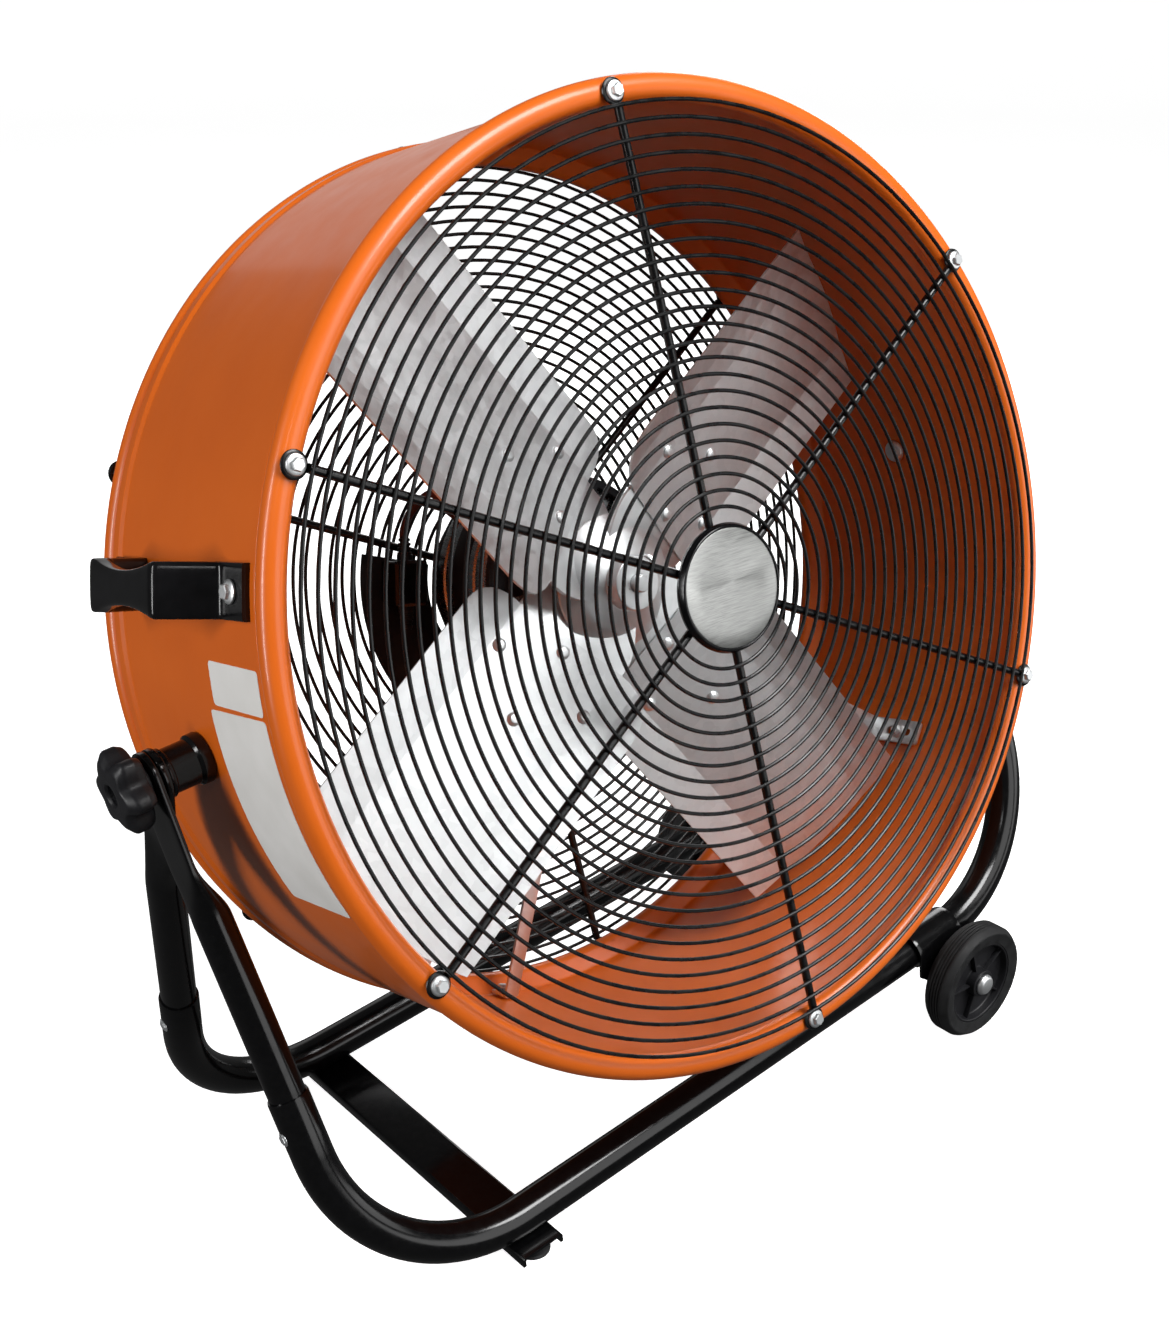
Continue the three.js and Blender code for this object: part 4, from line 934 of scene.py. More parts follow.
def guard_screws():
    """A screw in every eye of a guard."""
    return round_axis(set_down(hex_screw(*GUARD_SCREW), moved(BOLT_CIRCLE, -3)), SPOKES, ZINC)


for label, spot, count in (("front", FRONT_GUARD, FRONT_RINGS), ("rear", REAR_GUARD, REAR_RINGS)):
    add_piece(f"{label}_wire_guard", wire_guard(count), spot, WIRE, "drum", [f"{label}_guard"])
    bolts = [f"{label}_guard_bolt_{k + 1}" for k in range(SPOKES)]
    add_piece(f"{label}_guard_screws", guard_screws(), spot, ZINC, "drum", bolts, sharp=25)


BADGE_BACK = PLATE_FRONT - SEAT


def badge_rim():
    """The badge's moulded surround."""
    return turned([
        ((0, BADGE_BACK), 0), ((BADGE_RADIUS - 0.5, BADGE_BACK), 0.4), ((BADGE_RADIUS, BADGE_BACK - 2.5), 1),
        ((BADGE_RADIUS - 1.6, BADGE_BACK - 6.4), 1.2), ((BADGE_RADIUS - 3, BADGE_BACK - 6.8), 0.6),
        ((BADGE_RADIUS - 3.6, BADGE_BACK - 5.6), 0.3), ((0, BADGE_BACK - 5.6), 0)], 128)


def badge_disc():
    """A bare, slightly crowned disc let into the surround."""
    edge = BADGE_RADIUS - 3.7
    profile = [(0, 5), (edge, 5), (edge, 5.9), (edge - 0.5, 6.1), (edge * 0.66, 6.5), (edge * 0.33, 6.7),
               (0, 6.8)]
    return lathe([(radius, BADGE_BACK - rise) for radius, rise in profile], 128)


add_piece("badge_rim", badge_rim(), FRONT_GUARD, GLOSS_NYLON, "drum", ["guard_badge"])
add_piece("badge_disc", badge_disc(), FRONT_GUARD, BADGE_FACE, "drum")


# ---- Fan ----
def blade_outline():
    """A blade's flat outline: a tip on the fan's circle, a soft corner and a curled one at its root."""
    corner = math.degrees(math.asin(BLADE_HALF / BLADE_TIP))
    soft = BLADE_HALF * 0.45
    start = BLADE_ROOT + soft
    line = [(start, -BLADE_HALF), *arc(BLADE_TIP, -corner, corner, 24), (start, BLADE_HALF)]
    line += curve_to((start, BLADE_HALF), (BLADE_ROOT, BLADE_HALF), (BLADE_ROOT, BLADE_HALF - soft))
    low = (BLADE_ROOT + soft / 4, -BLADE_HALF + soft)
    line += [low] + curve_to(low, (BLADE_ROOT + soft / 4, -BLADE_HALF), (start, -BLADE_HALF))
    return line[:-1]


def blade_rise(across):
    """How far a blade's sheet bends to the front at a distance across it."""
    low, high = CREASES
    chord = [(-BLADE_HALF, CAMBER), (low, 0), (high, 0), (LIFT, CAMBER * 0.3), (BLADE_HALF, CAMBER)]
    for (a, rise_a), (b, rise_b) in zip(chord, chord[1:]):
        if across <= b + 1e-6:
            return rise_a + (rise_b - rise_a) * (across - a) / (b - a)
    return CAMBER


def fan_blade():
    """A paddle of sheet, bent along two creases, in a frame with X out from the axis and Z across."""
    shape = bmesh.new()
    shape.from_mesh(cut_sheet(blade_outline(), [], -0.01, 0.01))
    below = [face for face in shape.faces if face.calc_center_median().z < 0]
    bmesh.ops.delete(shape, geom=below, context="FACES")
    walls = [face for face in shape.faces if abs(face.normal.z) < 0.5]
    bmesh.ops.delete(shape, geom=walls, context="FACES")
    low, high = CREASES
    for across in (low - 1, low, low + 1, high - 1, high, high + 9, LIFT, LIFT + 9.5):
        slice_at(shape, (0, across, 0), (0, 1, 0))
    for along in range(80, 300, 40):
        slice_at(shape, (along, 0, 0), (1, 0, 0))
    for vert in shape.verts:
        x, across, _ = vert.co
        vert.co = (x, -blade_rise(across), across)
    bmesh.ops.recalc_face_normals(shape, faces=shape.faces)
    mesh = bpy.data.meshes.new("blade")
    shape.to_mesh(mesh)
    shape.free()
    return carved(mesh, walled(BLADE_SHEET, 0), eased(0.3, angle=60))


def spider_arm():
    """A leaf-shaped arm of sheet that lies on the back of its blade."""
    line = curve_to((0, -BARREL_RADIUS), (HUB_RADIUS * 0.6, -ARM_HALF * 0.9), (HUB_RADIUS, -ARM_HALF * 0.85))
    line += curve_to(line[-1], (ARM_REACH * 0.72, -ARM_HALF), (ARM_REACH * 0.9, -BARREL_RADIUS))
    line += curve_to(line[-1], (ARM_REACH, 0), (ARM_REACH * 0.9, BARREL_RADIUS))
    line += curve_to(line[-1], (ARM_REACH * 0.72, ARM_HALF), (HUB_RADIUS, ARM_HALF * 0.85))
    line += curve_to(line[-1], (HUB_RADIUS * 0.6, ARM_HALF * 0.9), (0, BARREL_RADIUS))
    sheet = cut_sheet([(0, -BARREL_RADIUS)] + line, [], ARM_FACE, ARM_FACE + ARM_SHEET, 0.5)
    return set_down(sheet, about_x(BLADE_PITCH), FACING_Y)


def spider():
    """Four arms on a pressed dome, with the hub's barrel through its middle."""
    bore = SHAFT_RADIUS + 0.2
    dome = turned([
        ((SHAFT_RADIUS, -HUB_DOME + ARM_SHEET), 0), ((BARREL_RADIUS, -HUB_DOME), 4),
        ((HUB_RADIUS * 0.75, -HUB_DOME * 0.55), 18), ((HUB_RADIUS, ARM_FACE), 1),
        ((HUB_RADIUS, ARM_FACE + ARM_SHEET), 1), ((SHAFT_RADIUS, -HUB_DOME + 2 * ARM_SHEET), 0)],
        96, closed=True)
    barrel = turned([
        ((bore, BARREL_FRONT + 1), 0), ((SHAFT_RADIUS + 1, BARREL_FRONT), 0),
        ((BARREL_RADIUS, BARREL_FRONT), 1.5), ((BARREL_RADIUS, BARREL_BACK), 1), ((bore, BARREL_BACK), 0)],
        64, closed=True)
    return together(dome, barrel, round_axis(spider_arm(), BLADES, ZINC))


def blade_rivets():
    """Domed rivet heads on both faces of a blade, where it lies on its arm."""
    front = turned([((0, 0.2), 0), ((5.2, 0.2), 0), ((5, -1), 0.8), ((3, -2.4), 2), ((0, -2.7), 0)], 24)
    rear = set_down(front.copy(), moved(y=ARM_FACE + ARM_SHEET), Matrix.Scale(-1, 4, (0, 1, 0)))
    rivet = together(set_down(front, moved(y=-BLADE_SHEET / 2)), rear)
    spots = [set_down(rivet.copy(), moved(along, 0, across)) for along, across in RIVETS]
    return set_down(together(*spots), about_x(BLADE_PITCH))


blade = set_down(fan_blade(), about_x(BLADE_PITCH))
add_piece("fan_blades", round_axis(blade, BLADES, GALVANISED), FAN, GALVANISED, "fan",
          [f"fan_blade_{k + 1}" for k in range(BLADES)], sharp=4)
add_piece("fan_spider_plate", spider(), FAN, ZINC, "fan", ["fan_spider"], sharp=30)
add_piece("blade_rivets", round_axis(blade_rivets(), BLADES, ZINC), FAN, ZINC, "fan")
set_screw = set_down(hex_screw(*HUB_SCREW), moved(BARREL_RADIUS + SEAT, BARREL_FRONT + 6), about_z(90))
add_piece("hub_screw", set_screw, FAN, ZINC, "fan", ["hub_set_bolt"], sharp=25)
shaft = rod(SHAFT_RADIUS, SHAFT_FRONT, SHAFT_BACK, (1, 0))
add_piece("turned_shaft", shaft, DRUM, ZINC, "fan", ["motor_shaft"])


# ---- Motor ----
def motor_can():
    """The motor's can, with a rolled groove near each end."""
    wall = MOTOR_RADIUS - 0.2
    deep = wall - 1.4
    profile = [((0, MOTOR_FRONT), 0), ((wall, MOTOR_FRONT), 3)]
    for groove in (MOTOR_FRONT + 12, MOTOR_REAR - 12):
        profile += [((wall, groove - 2), 0.6), ((deep, groove - 0.6), 0.4),
                    ((deep, groove + 0.6), 0.4), ((wall, groove + 2), 0.6)]
    profile += [((wall, MOTOR_REAR), 3), ((0, MOTOR_REAR), 0)]
    return turned(profile, 128, steps=3)


def can_band():
    """Painted band round the can's middle."""
    start, end = MOTOR_FRONT + 20, MOTOR_REAR - 22
    return turned([((MOTOR_RADIUS - 1, start), 0), ((MOTOR_RADIUS, start), 0.3), ((MOTOR_RADIUS, end), 0.3),
                   ((MOTOR_RADIUS - 1, end), 0)], 128, closed=True)


def motor_bell():
    """A bearing bell with eight windows, its flange at Y = 0 and its nose towards -Y."""
    edge = MOTOR_RADIUS - 2
    profile = [(edge, -0.2), (edge, -BELL_DEPTH * 0.35), (edge * 0.92, -BELL_DEPTH * 0.46),
               (MOTOR_RADIUS * 0.7, -BELL_DEPTH * 0.7), (MOTOR_RADIUS * 0.5, -BELL_DEPTH * 0.76),
               (BELL_NOSE + 3, -BELL_DEPTH * 0.8), (BELL_NOSE, -BELL_DEPTH * 0.82)]
    sides = 96
    points = []
    for radius, y in profile:
        points += [(x, y, z) for x, z in circle(radius, points=sides)]
    faces = []
    for k, face in enumerate(grid_faces(len(profile), sides)):
        row, column = divmod(k, sides)
        if row not in WINDOW_ROWS or column % 12 not in WINDOW_COLUMNS:
            faces.append(face)
    shell = carved(mesh_of(points, faces), walled(2.2, -1), eased(0.4, angle=40))
    nose = turned([
        ((SHAFT_RADIUS + 1.5, -2), 0), ((BELL_NOSE + 1, -2), 0), ((BELL_NOSE + 1, -BELL_DEPTH * 0.8), 0.6),
        ((BELL_NOSE, -BELL_DEPTH * 0.86), 1), ((BELL_NOSE * 0.85, -BELL_DEPTH), 1),
        ((SHAFT_RADIUS + 1.5, -BELL_DEPTH), 0)], 72, closed=True)
    return together(shell, nose)


add_piece("motor_case", motor_can(), DRUM, CAN_STEEL, "drum", ["motor_can"])
add_piece("motor_band", can_band(), DRUM, SATIN_NYLON, "drum")
for label, spot in (("front", moved(y=MOTOR_FRONT - SEAT)),
                    ("rear", moved(y=MOTOR_REAR + SEAT) @ about_z(180))):
    add_piece(f"{label}_bearing_bell", motor_bell(), DRUM @ spot, CASTING, "drum",
              [f"motor_{label}_bell"])

DRUM_WALL = (SKIN_RADIUS - SKIN_SHEET) * FLAT_SHARE


def strap_ring(radius, angle, y, width):
    """Four corners of a strap's section, facing out at an angle about Y."""
    out = Vector((math.cos(math.radians(angle)), 0, math.sin(math.radians(angle))))
    side = Vector((-out.z, 0, out.x)) * width / 2
    back = Vector((0, 1, 0))
    return [out * radius + side * across + back * (y + deep * STRAP)
            for across, deep in ((-1, 0), (1, 0), (1, 1), (-1, 1))]


def cradle(sizes):
    """A saddle under the motor's can on two legs, whose slotted feet are screwed to the drum's wall."""
    width = sizes["width"]
    wall = math.sqrt((DRUM_WALL - SEAT) ** 2 - (width / 2) ** 2)
    root = sizes["plane"] + sizes["drift"]
    inner = MOTOR_RADIUS + SEAT
    low, high = -90 - SADDLE_HALF, -90 + SADDLE_HALF
    band = arc(inner + SADDLE_WIDTH, low, high, 48) + arc(inner, high, low, 48)
    parts = [set_down(cut_sheet(band, [], sizes["plane"], sizes["plane"] + STRAP, 0.5), FACING_Y)]
    for side in (-1, 1):
        angle = -90 + side * sizes["far"]
        near = -90 + side * sizes["near"]
        ends = [strap_ring(MOTOR_RADIUS + SADDLE_WIDTH / 2, near, sizes["plane"], width),
                strap_ring(wall - 1, angle, root, width)]
        parts.append(carved(loft(ends), eased(0.5)))
        start, end = root + min(sizes["foot"], 0), root + max(sizes["foot"], STRAP)
        edge = rounded([((start, 0), 0), ((start, -width / 2), 3), ((end, -width / 2), 1), ((end, 0), 0)])
        outline = edge + [(x, -y) for x, y in edge[-2:0:-1]]
        middle = root + sizes["foot"] / 2 + math.copysign(STRAP, sizes["foot"])
        run = sizes["slot"] / 2 - SLOT_RADIUS
        slot = arc(SLOT_RADIUS, 90, 270, 8, middle - run) + arc(SLOT_RADIUS, -90, 90, 8, middle + run)
        foot = cut_sheet(outline, [slot], wall - STRAP, wall, 0.4)
        parts.append(set_down(foot, about_y(angle), FACING_X))
        seat = moved(wall - STRAP, middle, 0)
        parts.append(set_down(hex_screw(*CRADLE_SCREW), about_y(angle), seat, about_z(-90)))
    return together(*parts)


for label, sizes in CRADLES.items():
    add_piece(f"{label}_cradle", cradle(sizes), DRUM, GALVANISED, "drum",
              [f"{label}_motor_cradle"])


# ---- Switch, glands and lead ----
def switch_mount():
    """A curved plate behind the rear guard, with a hole for the switch's stem."""
    inner, outer, half_turn = 73, 131, 25
    stem = math.radians(SWITCH_TURN - PLATE_TURN)
    outline = arc(outer, -half_turn, half_turn, 30) + arc(inner, half_turn, -half_turn, 20)
    hole = circle(3.8, SWITCH_CIRCLE * math.cos(stem), SWITCH_CIRCLE * math.sin(stem))
    sheet = cut_sheet(outline, [hole], SWITCH_PLATE_Y - SWITCH_PLATE_SHEET, SWITCH_PLATE_Y, 0.5)
    return set_down(sheet, FACING_Y)


def switch_case():
    """A moulded box under the plate, its edges eased."""
    wide, deep, tall = SWITCH_SIZE
    rings = []
    for y, ease in ((-SEAT, 0.6), (-SEAT - 0.6, 0), (-SEAT - deep + 2, 0), (-SEAT - deep, 2)):
        half_x, half_z = wide / 2 - ease, tall / 2 - ease
        ring = rounded([((0, y, -half_z), 0), ((half_x, y, -half_z), 2.5), ((half_x, y, half_z), 2.5),
                        ((-half_x, y, half_z), 2.5), ((-half_x, y, -half_z), 2.5), ((0.0, y, -half_z), 0)])
        rings.append(ring[:-1])
    return loft(rings)


def cord_gland(end):
    """A ribbed strain relief on the end of the switch's case."""
    wide, deep, tall = SWITCH_SIZE
    face = tall / 2 + SEAT
    ribs, pitch, groove = 4, 3.4, 1.3
    profile = [(0, face - 2), (3, face - 2), (3, face), (6, face), (6, face + 4)]
    for k in range(ribs):
        start = face + 4 + pitch * k
        radius = 5.6 - 0.4 * k
        profile += [(radius, start + 0.2), (radius, start + 2.0),
                    (radius - groove, start + 2.2), (radius - groove, start + 3.2)]
    profile += [(3.5, face + GLAND_LENGTH), (3.3, face + GLAND_LENGTH - 2), (0, face + GLAND_LENGTH - 2)]
    gland = lathe(profile, 32, axis="z")
    return set_down(gland, moved(y=-deep / 2 - SEAT), about_y(0 if end > 0 else 180))


def switch_knob():
    """A finely fluted cap with a raised pointer grip, on the stem that comes through the guard."""
    base = SWITCH_PLATE_SHEET + RING_WIRE + SPOKE_RADIUS + SEAT
    stem = lathe([(0, -7), (2.95, -7), (2.95, base + 1), (0, base + 1)], 24)
    cap = turned([((0, base), 0), ((14.9, base), 0.6), ((14.5, base + 5), 1.2), ((0, base + 5.4), 0)], 72,
                 wave=lambda angle, radius: 0.1 * math.cos(24 * angle) if radius > 13 else 0)
    pointer = rounded([
        ((-15, 0), 0), ((0, -5), 20), ((14.6, -3.6), 1.5), ((14.6, 3.6), 1.5), ((0, 5), 20), ((-15, 0), 0)])
    grip = set_down(cut_sheet(pointer[:-1], [], base + 1, base + 15, 0.9), FACING_Y)
    return together(stem, cap, grip)


def motor_lead():
    """The lead's route from the gland's mouth round into the side of the can."""
    wide, deep, tall = SWITCH_SIZE
    plug = -tall / 2 - GLAND_LENGTH * 0.6
    y = -deep / 2 - SEAT

    def spot(distance, degrees, along):
        angle = math.radians(degrees)
        return Vector((distance * math.cos(angle) - SWITCH_CIRCLE, y - along, -distance * math.sin(angle)))

    knots = [Vector((0, y, plug)), Vector((0, y, plug - 12)), Vector((-4, y - 5, plug - 26)),
             spot(MOTOR_RADIUS + LEAD_LOOP, LEAD_ENTRY + 2, 16),
             spot(MOTOR_RADIUS + LEAD_LOOP / 2, LEAD_ENTRY, 22),
             spot(MOTOR_RADIUS + SEAT, LEAD_ENTRY, 23)]
    route = []
    for k in range(len(knots) - 1):
        a, b = knots[max(k - 1, 0)], knots[k]
        c, d = knots[k + 1], knots[min(k + 2, len(knots) - 1)]
        for t in (step / 8 for step in range(8)):
            route.append(0.5 * (2 * b + (c - a) * t + (2 * a - 5 * b + 4 * c - d) * t * t
                                + (3 * b - a - 3 * c + d) * t ** 3))
    return pipe(route + [knots[-1]], LEAD_RADIUS, 20)


add_piece("switch_mount", switch_mount(), DRUM @ about_y(PLATE_TURN), SATIN_NYLON, "drum",
          ["switch_plate"])
add_piece("switch_case", switch_case(), SWITCH, GLOSS_NYLON, "drum", ["switch_body"])
for label, end, node in (("upper", 1, "mains_cord_gland"), ("lower", -1, "motor_lead_gland")):
    add_piece(f"{label}_strain_relief", cord_gland(end), SWITCH, SATIN_NYLON, "drum", [node])
add_piece("lead_sheath", motor_lead(), SWITCH, SHEATH, "drum", ["motor_lead"])
add_piece("speed_knob", switch_knob(), SWITCH, SATIN_NYLON, "speed_switch", ["switch_knob"])


# ---- Carrying handle ----
def handle_sections():
    """Stations of the handle: (outer point, inner point), as (distance along Y, height)."""
    shoulder = HANDLE_HALF - HANDLE_PAD
    under = HANDLE_RISE - HANDLE_THICK
    inner_grip = GRIP_HALF - HANDLE_THICK
    outer = [((-HANDLE_HALF, PAD_THICK), 0), ((-shoulder - 2, PAD_THICK), 5),
             ((-GRIP_HALF - 1, HANDLE_RISE), 7), ((0, HANDLE_RISE), 0)]
    inner = [((-HANDLE_HALF, -SEAT), 0), ((-shoulder + HANDLE_THICK, -SEAT), 1.5),
             ((-inner_grip - 1, under), 7), ((0, under), 0)]
    stations = list(zip(rounded(outer, 8), rounded(inner, 8)))
    half = []
    for (a, b), (c, d) in zip(stations, stations[1:]):
        count = max(1, round((c - a).length / 3))
        half += [(a.lerp(c, k / count), b.lerp(d, k / count)) for k in range(count)]
    half.append(stations[-1])
    mirrored = [(Vector((-a.x, a.y)), Vector((-b.x, b.y))) for a, b in half[-2::-1]]
    return half + mirrored


def handle_half_width(along):
    """Half the handle's width, which narrows along a curve to its waist."""
    if abs(along) >= GRIP_HALF:
        return HANDLE_WIDE
    share = (along / GRIP_HALF + 1) / 2
    waist = 2 * HANDLE_WAIST - HANDLE_WIDE
    return HANDLE_WIDE * ((1 - share) ** 2 + share ** 2) + 2 * share * (1 - share) * waist


def carry_handle():
    """A moulded strap with a raised grip between two pads that lie on the drum."""
    rings = []
    for outer, inner in handle_sections():
        half = handle_half_width(outer.x)
        middle, deep = (outer + inner) / 2, (outer - inner) / 2
        power = 0.28 if abs(outer.x) > GRIP_HALF else 0.45  # the pads are squarer than the grip
        ring = []
        for k in range(32):
            up, across = squared(2 * math.pi * (k + 0.5) / 32, power)
            spot = middle + deep * up
            ring.append((-spot.y, spot.x, across * half))
        rings.append(ring)
    return loft(rings)


HANDLE = DRUM @ about_y(-HANDLE_TURN) @ moved(-SKIN_RADIUS * FLAT_SHARE, HANDLE_MIDDLE)
add_piece("moulded_handle", carry_handle(), HANDLE, GLOSS_NYLON, "drum", ["carry_handle"],
          sharp=50)
handle_screws = []
for end in (-1, 1):
    spot = moved(-PAD_THICK - 0.4, end * (HANDLE_HALF - 15))
    handle_screws.append(set_down(hex_screw(*HANDLE_SCREW), spot, about_z(-90)))
add_piece("handle_screws", together(*handle_screws), HANDLE, ZINC, "drum", sharp=25)


# ---- Pivots and clamp knobs, drawn for the right side ----
CLAMP_FACE = PIVOT_X + FLAT_SHEET + 2 * SEAT


def pivot_spacer():
    """A moulded spacer between the drum and the leg, with a broad foot and a collar."""
    start, end = SKIN_RADIUS + 2 * SEAT, PIVOT_X - FLAT_SHEET - 2 * SEAT
    return turned([
        ((5.5, start), 0), ((SPACER_RADIUS, start), 1), ((SPACER_RADIUS, start + 7), 0.8),
        ((SPACER_RADIUS - 2, start + 9), 0.8), ((SPACER_RADIUS - 2, end - 4), 0.8),
        ((SPACER_RADIUS - 0.5, end - 3), 0.5), ((SPACER_RADIUS - 0.5, end), 0.6), ((5.5, end), 0)],
        72, axis="x", closed=True)


def pivot_bolt():
    """A carriage bolt from inside the drum to the middle of the knob."""
    end = CLAMP_FACE + SEAT + 15
    wall = DRUM_WALL - SEAT
    shank = rod(PIVOT_BOLT, wall - 1, end, (0, 1), 32, axis="x")
    head = turned([((0, wall), 0), ((9.5, wall), 0.5), ((8.2, wall - 3.4), 2), ((0, wall - 4.8), 0)],
                  48, axis="x")
    return together(shank, head)


def clamp_knob():
    """A six-lobed knob with soft shoulders, a turned neck and an open middle over the bolt's end."""
    def lobes(angle, radius):
        return KNOB_LOBE * math.cos(6 * angle) * min(max((radius - 15) / 9, 0), 1)

    return turned([
        ((5.5, 0), 0), ((14, 0), 1), ((14, 3.2), 1), ((22, 3.4), 3), ((24, 9), 3), ((24, 17), 5),
        ((19.5, 22.4), 4), ((11.5, 23), 1), ((8.2, 22.8), 1), ((7, 21), 1), ((7, 15.5), 1), ((5.5, 15.2), 0)],
        144, axis="x", closed=True, wave=lobes)


for label, side in (("left", -1), ("right", 1)):
    hand = Matrix.Scale(side, 4, (1, 0, 0))
    add_piece(f"{label}_spacer", set_down(pivot_spacer(), hand), DRUM, GLOSS_NYLON, "drum",
              [f"{label}_pivot_spacer"])
    add_piece(f"{label}_bolt", set_down(pivot_bolt(), hand), DRUM, ZINC, "drum",
              [f"{label}_pivot_bolt"])
    knob = set_down(clamp_knob(), hand, moved(CLAMP_FACE + SEAT))
    add_piece(f"{label}_hand_knob", knob, STAND, SATIN_NYLON, f"{label}_clamp",
              [f"{label}_clamp_knob"], sharp=60)


# ---- Stand ----
LEG_LENGTH = math.hypot(FRAME_SPLAY, FRAME_DROP)
SPLAY = math.atan2(FRAME_SPLAY, FRAME_DROP)
SLEEVE_TOP = LEG_LENGTH - BEND - 41.7


def frame_point(x, drop, face):
    """A point of a side frame: x across, drop down its slope, face -1 in front and +1 behind."""
    return Vector((x, face * drop * math.sin(SPLAY), -drop * math.cos(SPLAY)))


def leg_x(drop):
    """How far a leg's middle is from the fan's middle, which narrows downwards."""
    return PIVOT_X - (PIVOT_X - FRAME_X) * drop / LEG_LENGTH


def lower_frame(face):
    """A side frame's bottom tube, bent up at both ends into the sleeves for the legs, with eased mouths."""
    lean = math.atan2(PIVOT_X - FRAME_X, LEG_LENGTH)
    turn = math.pi / 2 - lean
    middle_x = FRAME_X - BEND * math.tan(turn / 2)
    right = [frame_point(leg_x(SLEEVE_TOP), SLEEVE_TOP, face)]
    for x, drop in arc(BEND, math.degrees(lean), 90, 28, middle_x, LEG_LENGTH - BEND):
        right.append(frame_point(x, drop, face))
    left = [Vector((-p.x, p.y, p.z)) for p in right[::-1]]
    lips = right[0].lerp(right[1], 0.04), left[-1].lerp(left[-2], 0.04)
    path = [right[0], lips[0], *right[1:], *left[:-1], lips[1], left[-1]]
    mouth, wall = SLEEVE_RADIUS - 0.9, SLEEVE_RADIUS - 0.35
    return pipe(path, [mouth] + [wall] * (len(path) - 2) + [mouth], 40)


def leg_ring(side, face, drop, centre, thick, wide, power):
    """A leg's section at a drop: an oval that a low power makes square."""
    across = Vector((0, math.cos(SPLAY), face * math.sin(SPLAY)))
    ring = []
    for k in range(40):
        out, along = squared(2 * math.pi * (k + 0.5) / 40, power)
        ring.append(frame_point(side * (centre + thick * out), drop, face) + across * wide * along)
    return ring


def stand_leg(side, face):
    """A tube pressed flat at its top, with a rounded end, blending into the round tube below."""
    half = FLAT_SHEET / 2
    flat_x = PIVOT_X - face * (half + SEAT)
    square = 0.25
    rings = []
    for drop, wide in [(-y, x) for x, y in arc(FLAT_HALF, 82, 0, 9)]:
        thick = half if rings else half * 0.8
        rings.append(leg_ring(side, face, drop, flat_x, thick, wide, square))
    rings.append(leg_ring(side, face, FLAT_END * 0.8, flat_x, half, FLAT_HALF, square))
    for share in (k / 14 for k in range(15)):
        soft = share * share * (3 - 2 * share)
        drop = FLAT_END + (ROUND_START - FLAT_END) * share
        centre = flat_x + (leg_x(ROUND_START) - flat_x) * soft
        thick = half + (LEG_RADIUS - half) * soft
        wide = FLAT_HALF + (LEG_RADIUS - FLAT_HALF) * soft
        rings.append(leg_ring(side, face, drop, centre, thick, wide, square + (1 - square) * soft))
    end = SLEEVE_TOP + 40
    rings.append(leg_ring(side, face, end, leg_x(end), LEG_RADIUS, LEG_RADIUS, 1))
    return loft(rings)


def leg_screws():
    """Low hexagon screws that hold the legs in the floor frames, on their outer sides."""
    screws = []
    for side in (-1, 1):
        for face in (-1, 1):
            drop = SLEEVE_TOP + 26
            spot = frame_point(side * (leg_x(drop) + SLEEVE_RADIUS - 0.8), drop, face)
            screws.append(set_down(hex_screw(*LEG_SCREW), moved(*spot), about_z(90 * side)))
    return together(*screws)


FLOOR_TUBE = -FRAME_DROP - SLEEVE_RADIUS - SEAT


def foot_channel():
    """A shallow channel of sheet under both floor frames, open downwards."""
    half, wall, flange = 18, CHANNEL_SHEET, 8
    profile = [((half, 0), 3), ((half, -flange), 0), ((half - wall, -flange), 0), ((half - wall, -wall), 1)]
    mirrored = [((-x, y), soft) for (x, y), soft in profile[::-1]]
    outline = rounded([((0, 0), 0), *profile, *mirrored, ((0, 0), 0)])[:-1]
    bar = cut_sheet(outline, [], -CHANNEL_HALF, CHANNEL_HALF, 0.4)
    return set_down(bar, moved(CHANNEL_X, 0, FLOOR_TUBE), FACING_Y)


FLOOR_SLOPE = ACROSS[2] / ACROSS[0]


def rubber_foot():
    """A moulded foot with a tapered waist, cut off level with the floor."""
    seat = FLOOR_TUBE - CHANNEL_SHEET - SEAT
    rings = []
    profile = ((11, 0), (12.3, 0.12), (12.3, 0.3), (11.6, 0.4), (11.8, 0.7), (13, 0.86), (12.6, 1.0))
    for radius, share in profile:
        ring = []
        for x, y in circle(radius, CHANNEL_X, points=40):
            sole = -FRAME_DROP - SOLE_DROP - (x - CHANNEL_X) * FLOOR_SLOPE
            ring.append((x, y, seat + (sole - seat) * share))
        rings.append(ring)
    return loft(rings)


def wheel_bracket():
    """A bent saddle over the floor tube whose cheeks taper to the axle."""
    inward, outward, nose = 42, 10, 15  # reach from the axle along the tube, and the round at the axle
    taper, flare = 16.6, 7.3  # how far down the cheeks start to narrow and to widen
    middle = SLEEVE_RADIUS + 3 * SEAT + 0.2 + BRACKET_SHEET / 2
    bottom = -AXLE_DROP - nose
    cheek = [(middle, bottom - bottom * k / 24) for k in range(25)]
    section = cheek + arc(middle, 0, 180, 24)[1:-1] + [(-y, z) for y, z in cheek[::-1]]
    points = []
    columns = 12
    for y, z in section:
        left, right = WHEEL_X - inward, WHEEL_X + outward
        if z < -taper:
            share = (-taper - z) / (AXLE_DROP + 9 - taper)
            left += (inward - nose) * min(share, 1)
        if z < -flare:
            share = min((-flare - z) / (AXLE_DROP - flare), 1)
            right += (nose - outward) * share
        if z < -AXLE_DROP:
            reach = math.sqrt(max(nose ** 2 - (z + AXLE_DROP) ** 2, 0))
            right = WHEEL_X + reach
            left = max(left, WHEEL_X - reach)
        for k in range(columns + 1):
            points.append((left + (right - left) * k / columns, y, z))
    faces = grid_faces(len(section), columns + 1, round_rows=False)
    sheet = carved(mesh_of(points, faces), walled(BRACKET_SHEET, 0), eased(0.5, angle=50))
    return set_down(sheet, moved(z=-FRAME_DROP))


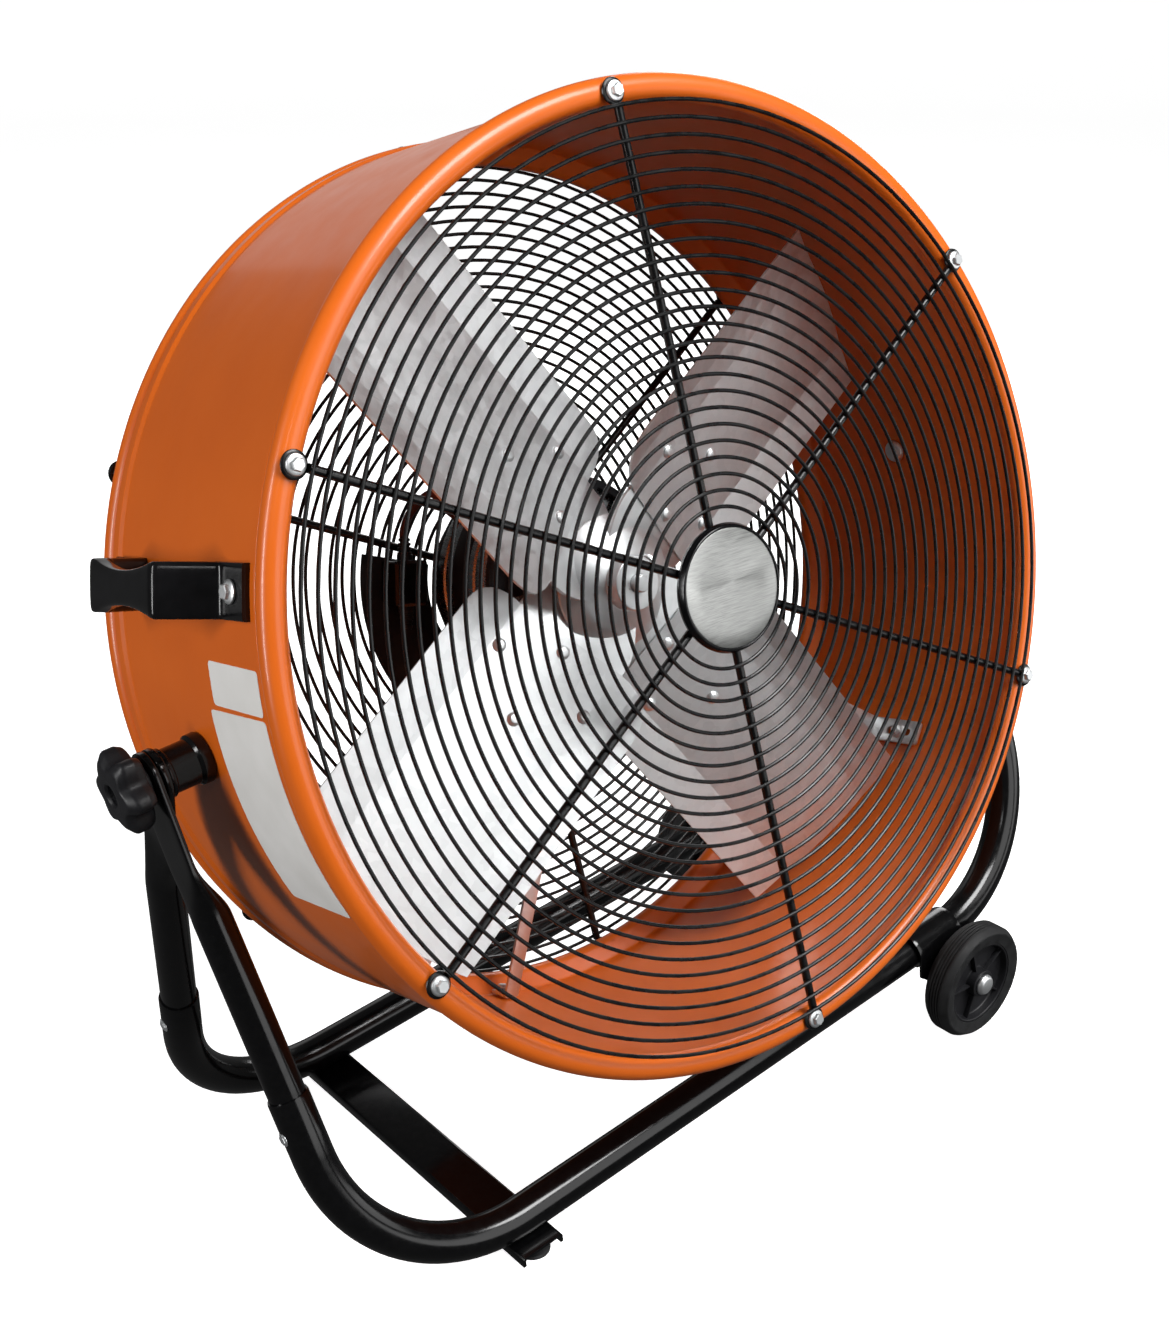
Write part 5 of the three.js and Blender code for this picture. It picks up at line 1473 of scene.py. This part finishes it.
def tyre():
    """A tyre with five ribs round its tread."""
    half, ribs = TYRE_WIDTH / 2, 5
    wall = [((TYRE_INNER, -half + 2), 0.5), ((TYRE_INNER + 8, -half + 0.6), 2),
            ((WHEEL_RADIUS - 4, -half), 2), ((WHEEL_RADIUS - 0.6, -half + 5), 1)]
    start, end = -half + 5.6, half - 5.6
    step = (end - start) / ribs
    tread = []
    for k in range(ribs):
        here = start + (end - start) * k / ribs
        tread += [((WHEEL_RADIUS, here + 0.3), 0.2), ((WHEEL_RADIUS, here + step - 0.9), 0.2),
                  ((WHEEL_RADIUS - 1.2, here + step - 0.6), 0), ((WHEEL_RADIUS - 1.2, here + step), 0)]
    mirrored = [((radius, -along), soft) for (radius, along), soft in wall[::-1]]
    return turned([*wall, *tread[:-2], *mirrored], 160, closed=True, steps=3)


def wheel_hub():
    """A moulded wheel: a boss, a thin web and a rim for the tyre, with five ribs on both faces."""
    half = HUB_WIDTH / 2
    rim = TYRE_INNER - SEAT
    side = [((12, half + 2), 0.8), ((12, 3), 1), ((rim - 2.4, 3), 1.5), ((rim - 1.6, half - 0.5), 0.6),
            ((rim - 1, half), 0.3), ((rim, half), 0.3)]
    mirrored = [((r, -y), soft) for (r, y), soft in side[::-1]]
    disc = turned([((5.7, half + 2), 0), *side, *mirrored, ((5.7, -half - 2), 0)], 96, closed=True, steps=4)
    parts = [disc]
    for face in (-1, 1):
        rib = cut_sheet([(11, -0.9), (rim - 1.5, -0.8), (rim - 1.5, 0.8), (11, 0.9)], [], 2, half - 2.5, 0.4)
        parts.append(round_axis(set_down(rib, about_z(180 if face < 0 else 0), FACING_Y), 5, SATIN_NYLON))
    return together(*parts)


def axle_cap():
    """A domed push-on cap over the end of the axle."""
    return turned([
        ((5.3, 0), 0), ((9, 0), 0.4), ((8.9, 1.6), 0.5), ((7.4, 4.4), 2.5), ((0, 6), 0), ((0, 3), 0),
        ((5.3, 3), 0)], 48, closed=True)


for label, face in (("front", -1), ("rear", 1)):
    add_piece(f"{label}_floor_tube", lower_frame(face), STAND, ENAMEL, "stand",
              [f"{label}_lower_frame"])
    for hand, side in (("left", -1), ("right", 1)):
        add_piece(f"{label}_{hand}_leg_tube", stand_leg(side, face), STAND, ENAMEL, "stand",
                  [f"{label}_{hand}_leg"])
    add_piece(f"{label}_foot", rubber_foot(), STAND @ moved(y=face * FOOT_Y), RUBBER, "stand",
              [f"{label}_rubber_foot"])
    add_piece(f"{label}_axle_bracket", wheel_bracket(), STAND @ moved(y=face * FRAME_SPLAY), ENAMEL, "stand",
              [f"{label}_wheel_bracket"])
    centre = joint_of(f"{label}_wheel_roll")["pos_m"]
    wheel = place(centre, (face, 0, 0), (0, face, 0))
    add_piece(f"{label}_ribbed_tyre", tyre(), wheel, RUBBER, f"{label}_wheel",
              [f"{label}_tyre"])
    add_piece(f"{label}_hub", wheel_hub(), wheel, SATIN_NYLON, f"{label}_wheel",
              [f"{label}_wheel_hub"])
    cap = wheel @ moved(y=HUB_WIDTH / 2 + 2 + SEAT)
    add_piece(f"{label}_push_cap", axle_cap(), cap, ZINC, "stand", [f"{label}_axle_cap"])

add_piece("foot_rail", foot_channel(), STAND, ENAMEL, "stand", ["foot_channel"])
add_piece("leg_screws", leg_screws(), STAND, ZINC, "stand", sharp=25)
axle_end = WHEEL_Y + HUB_WIDTH / 2 + 4
axle = rod(AXLE_RADIUS, -axle_end, axle_end, (1, 1))
add_piece("axle_rod", axle, STAND @ moved(WHEEL_X, 0, -FRAME_DROP - AXLE_DROP), ZINC, "stand",
          ["wheel_axle"])
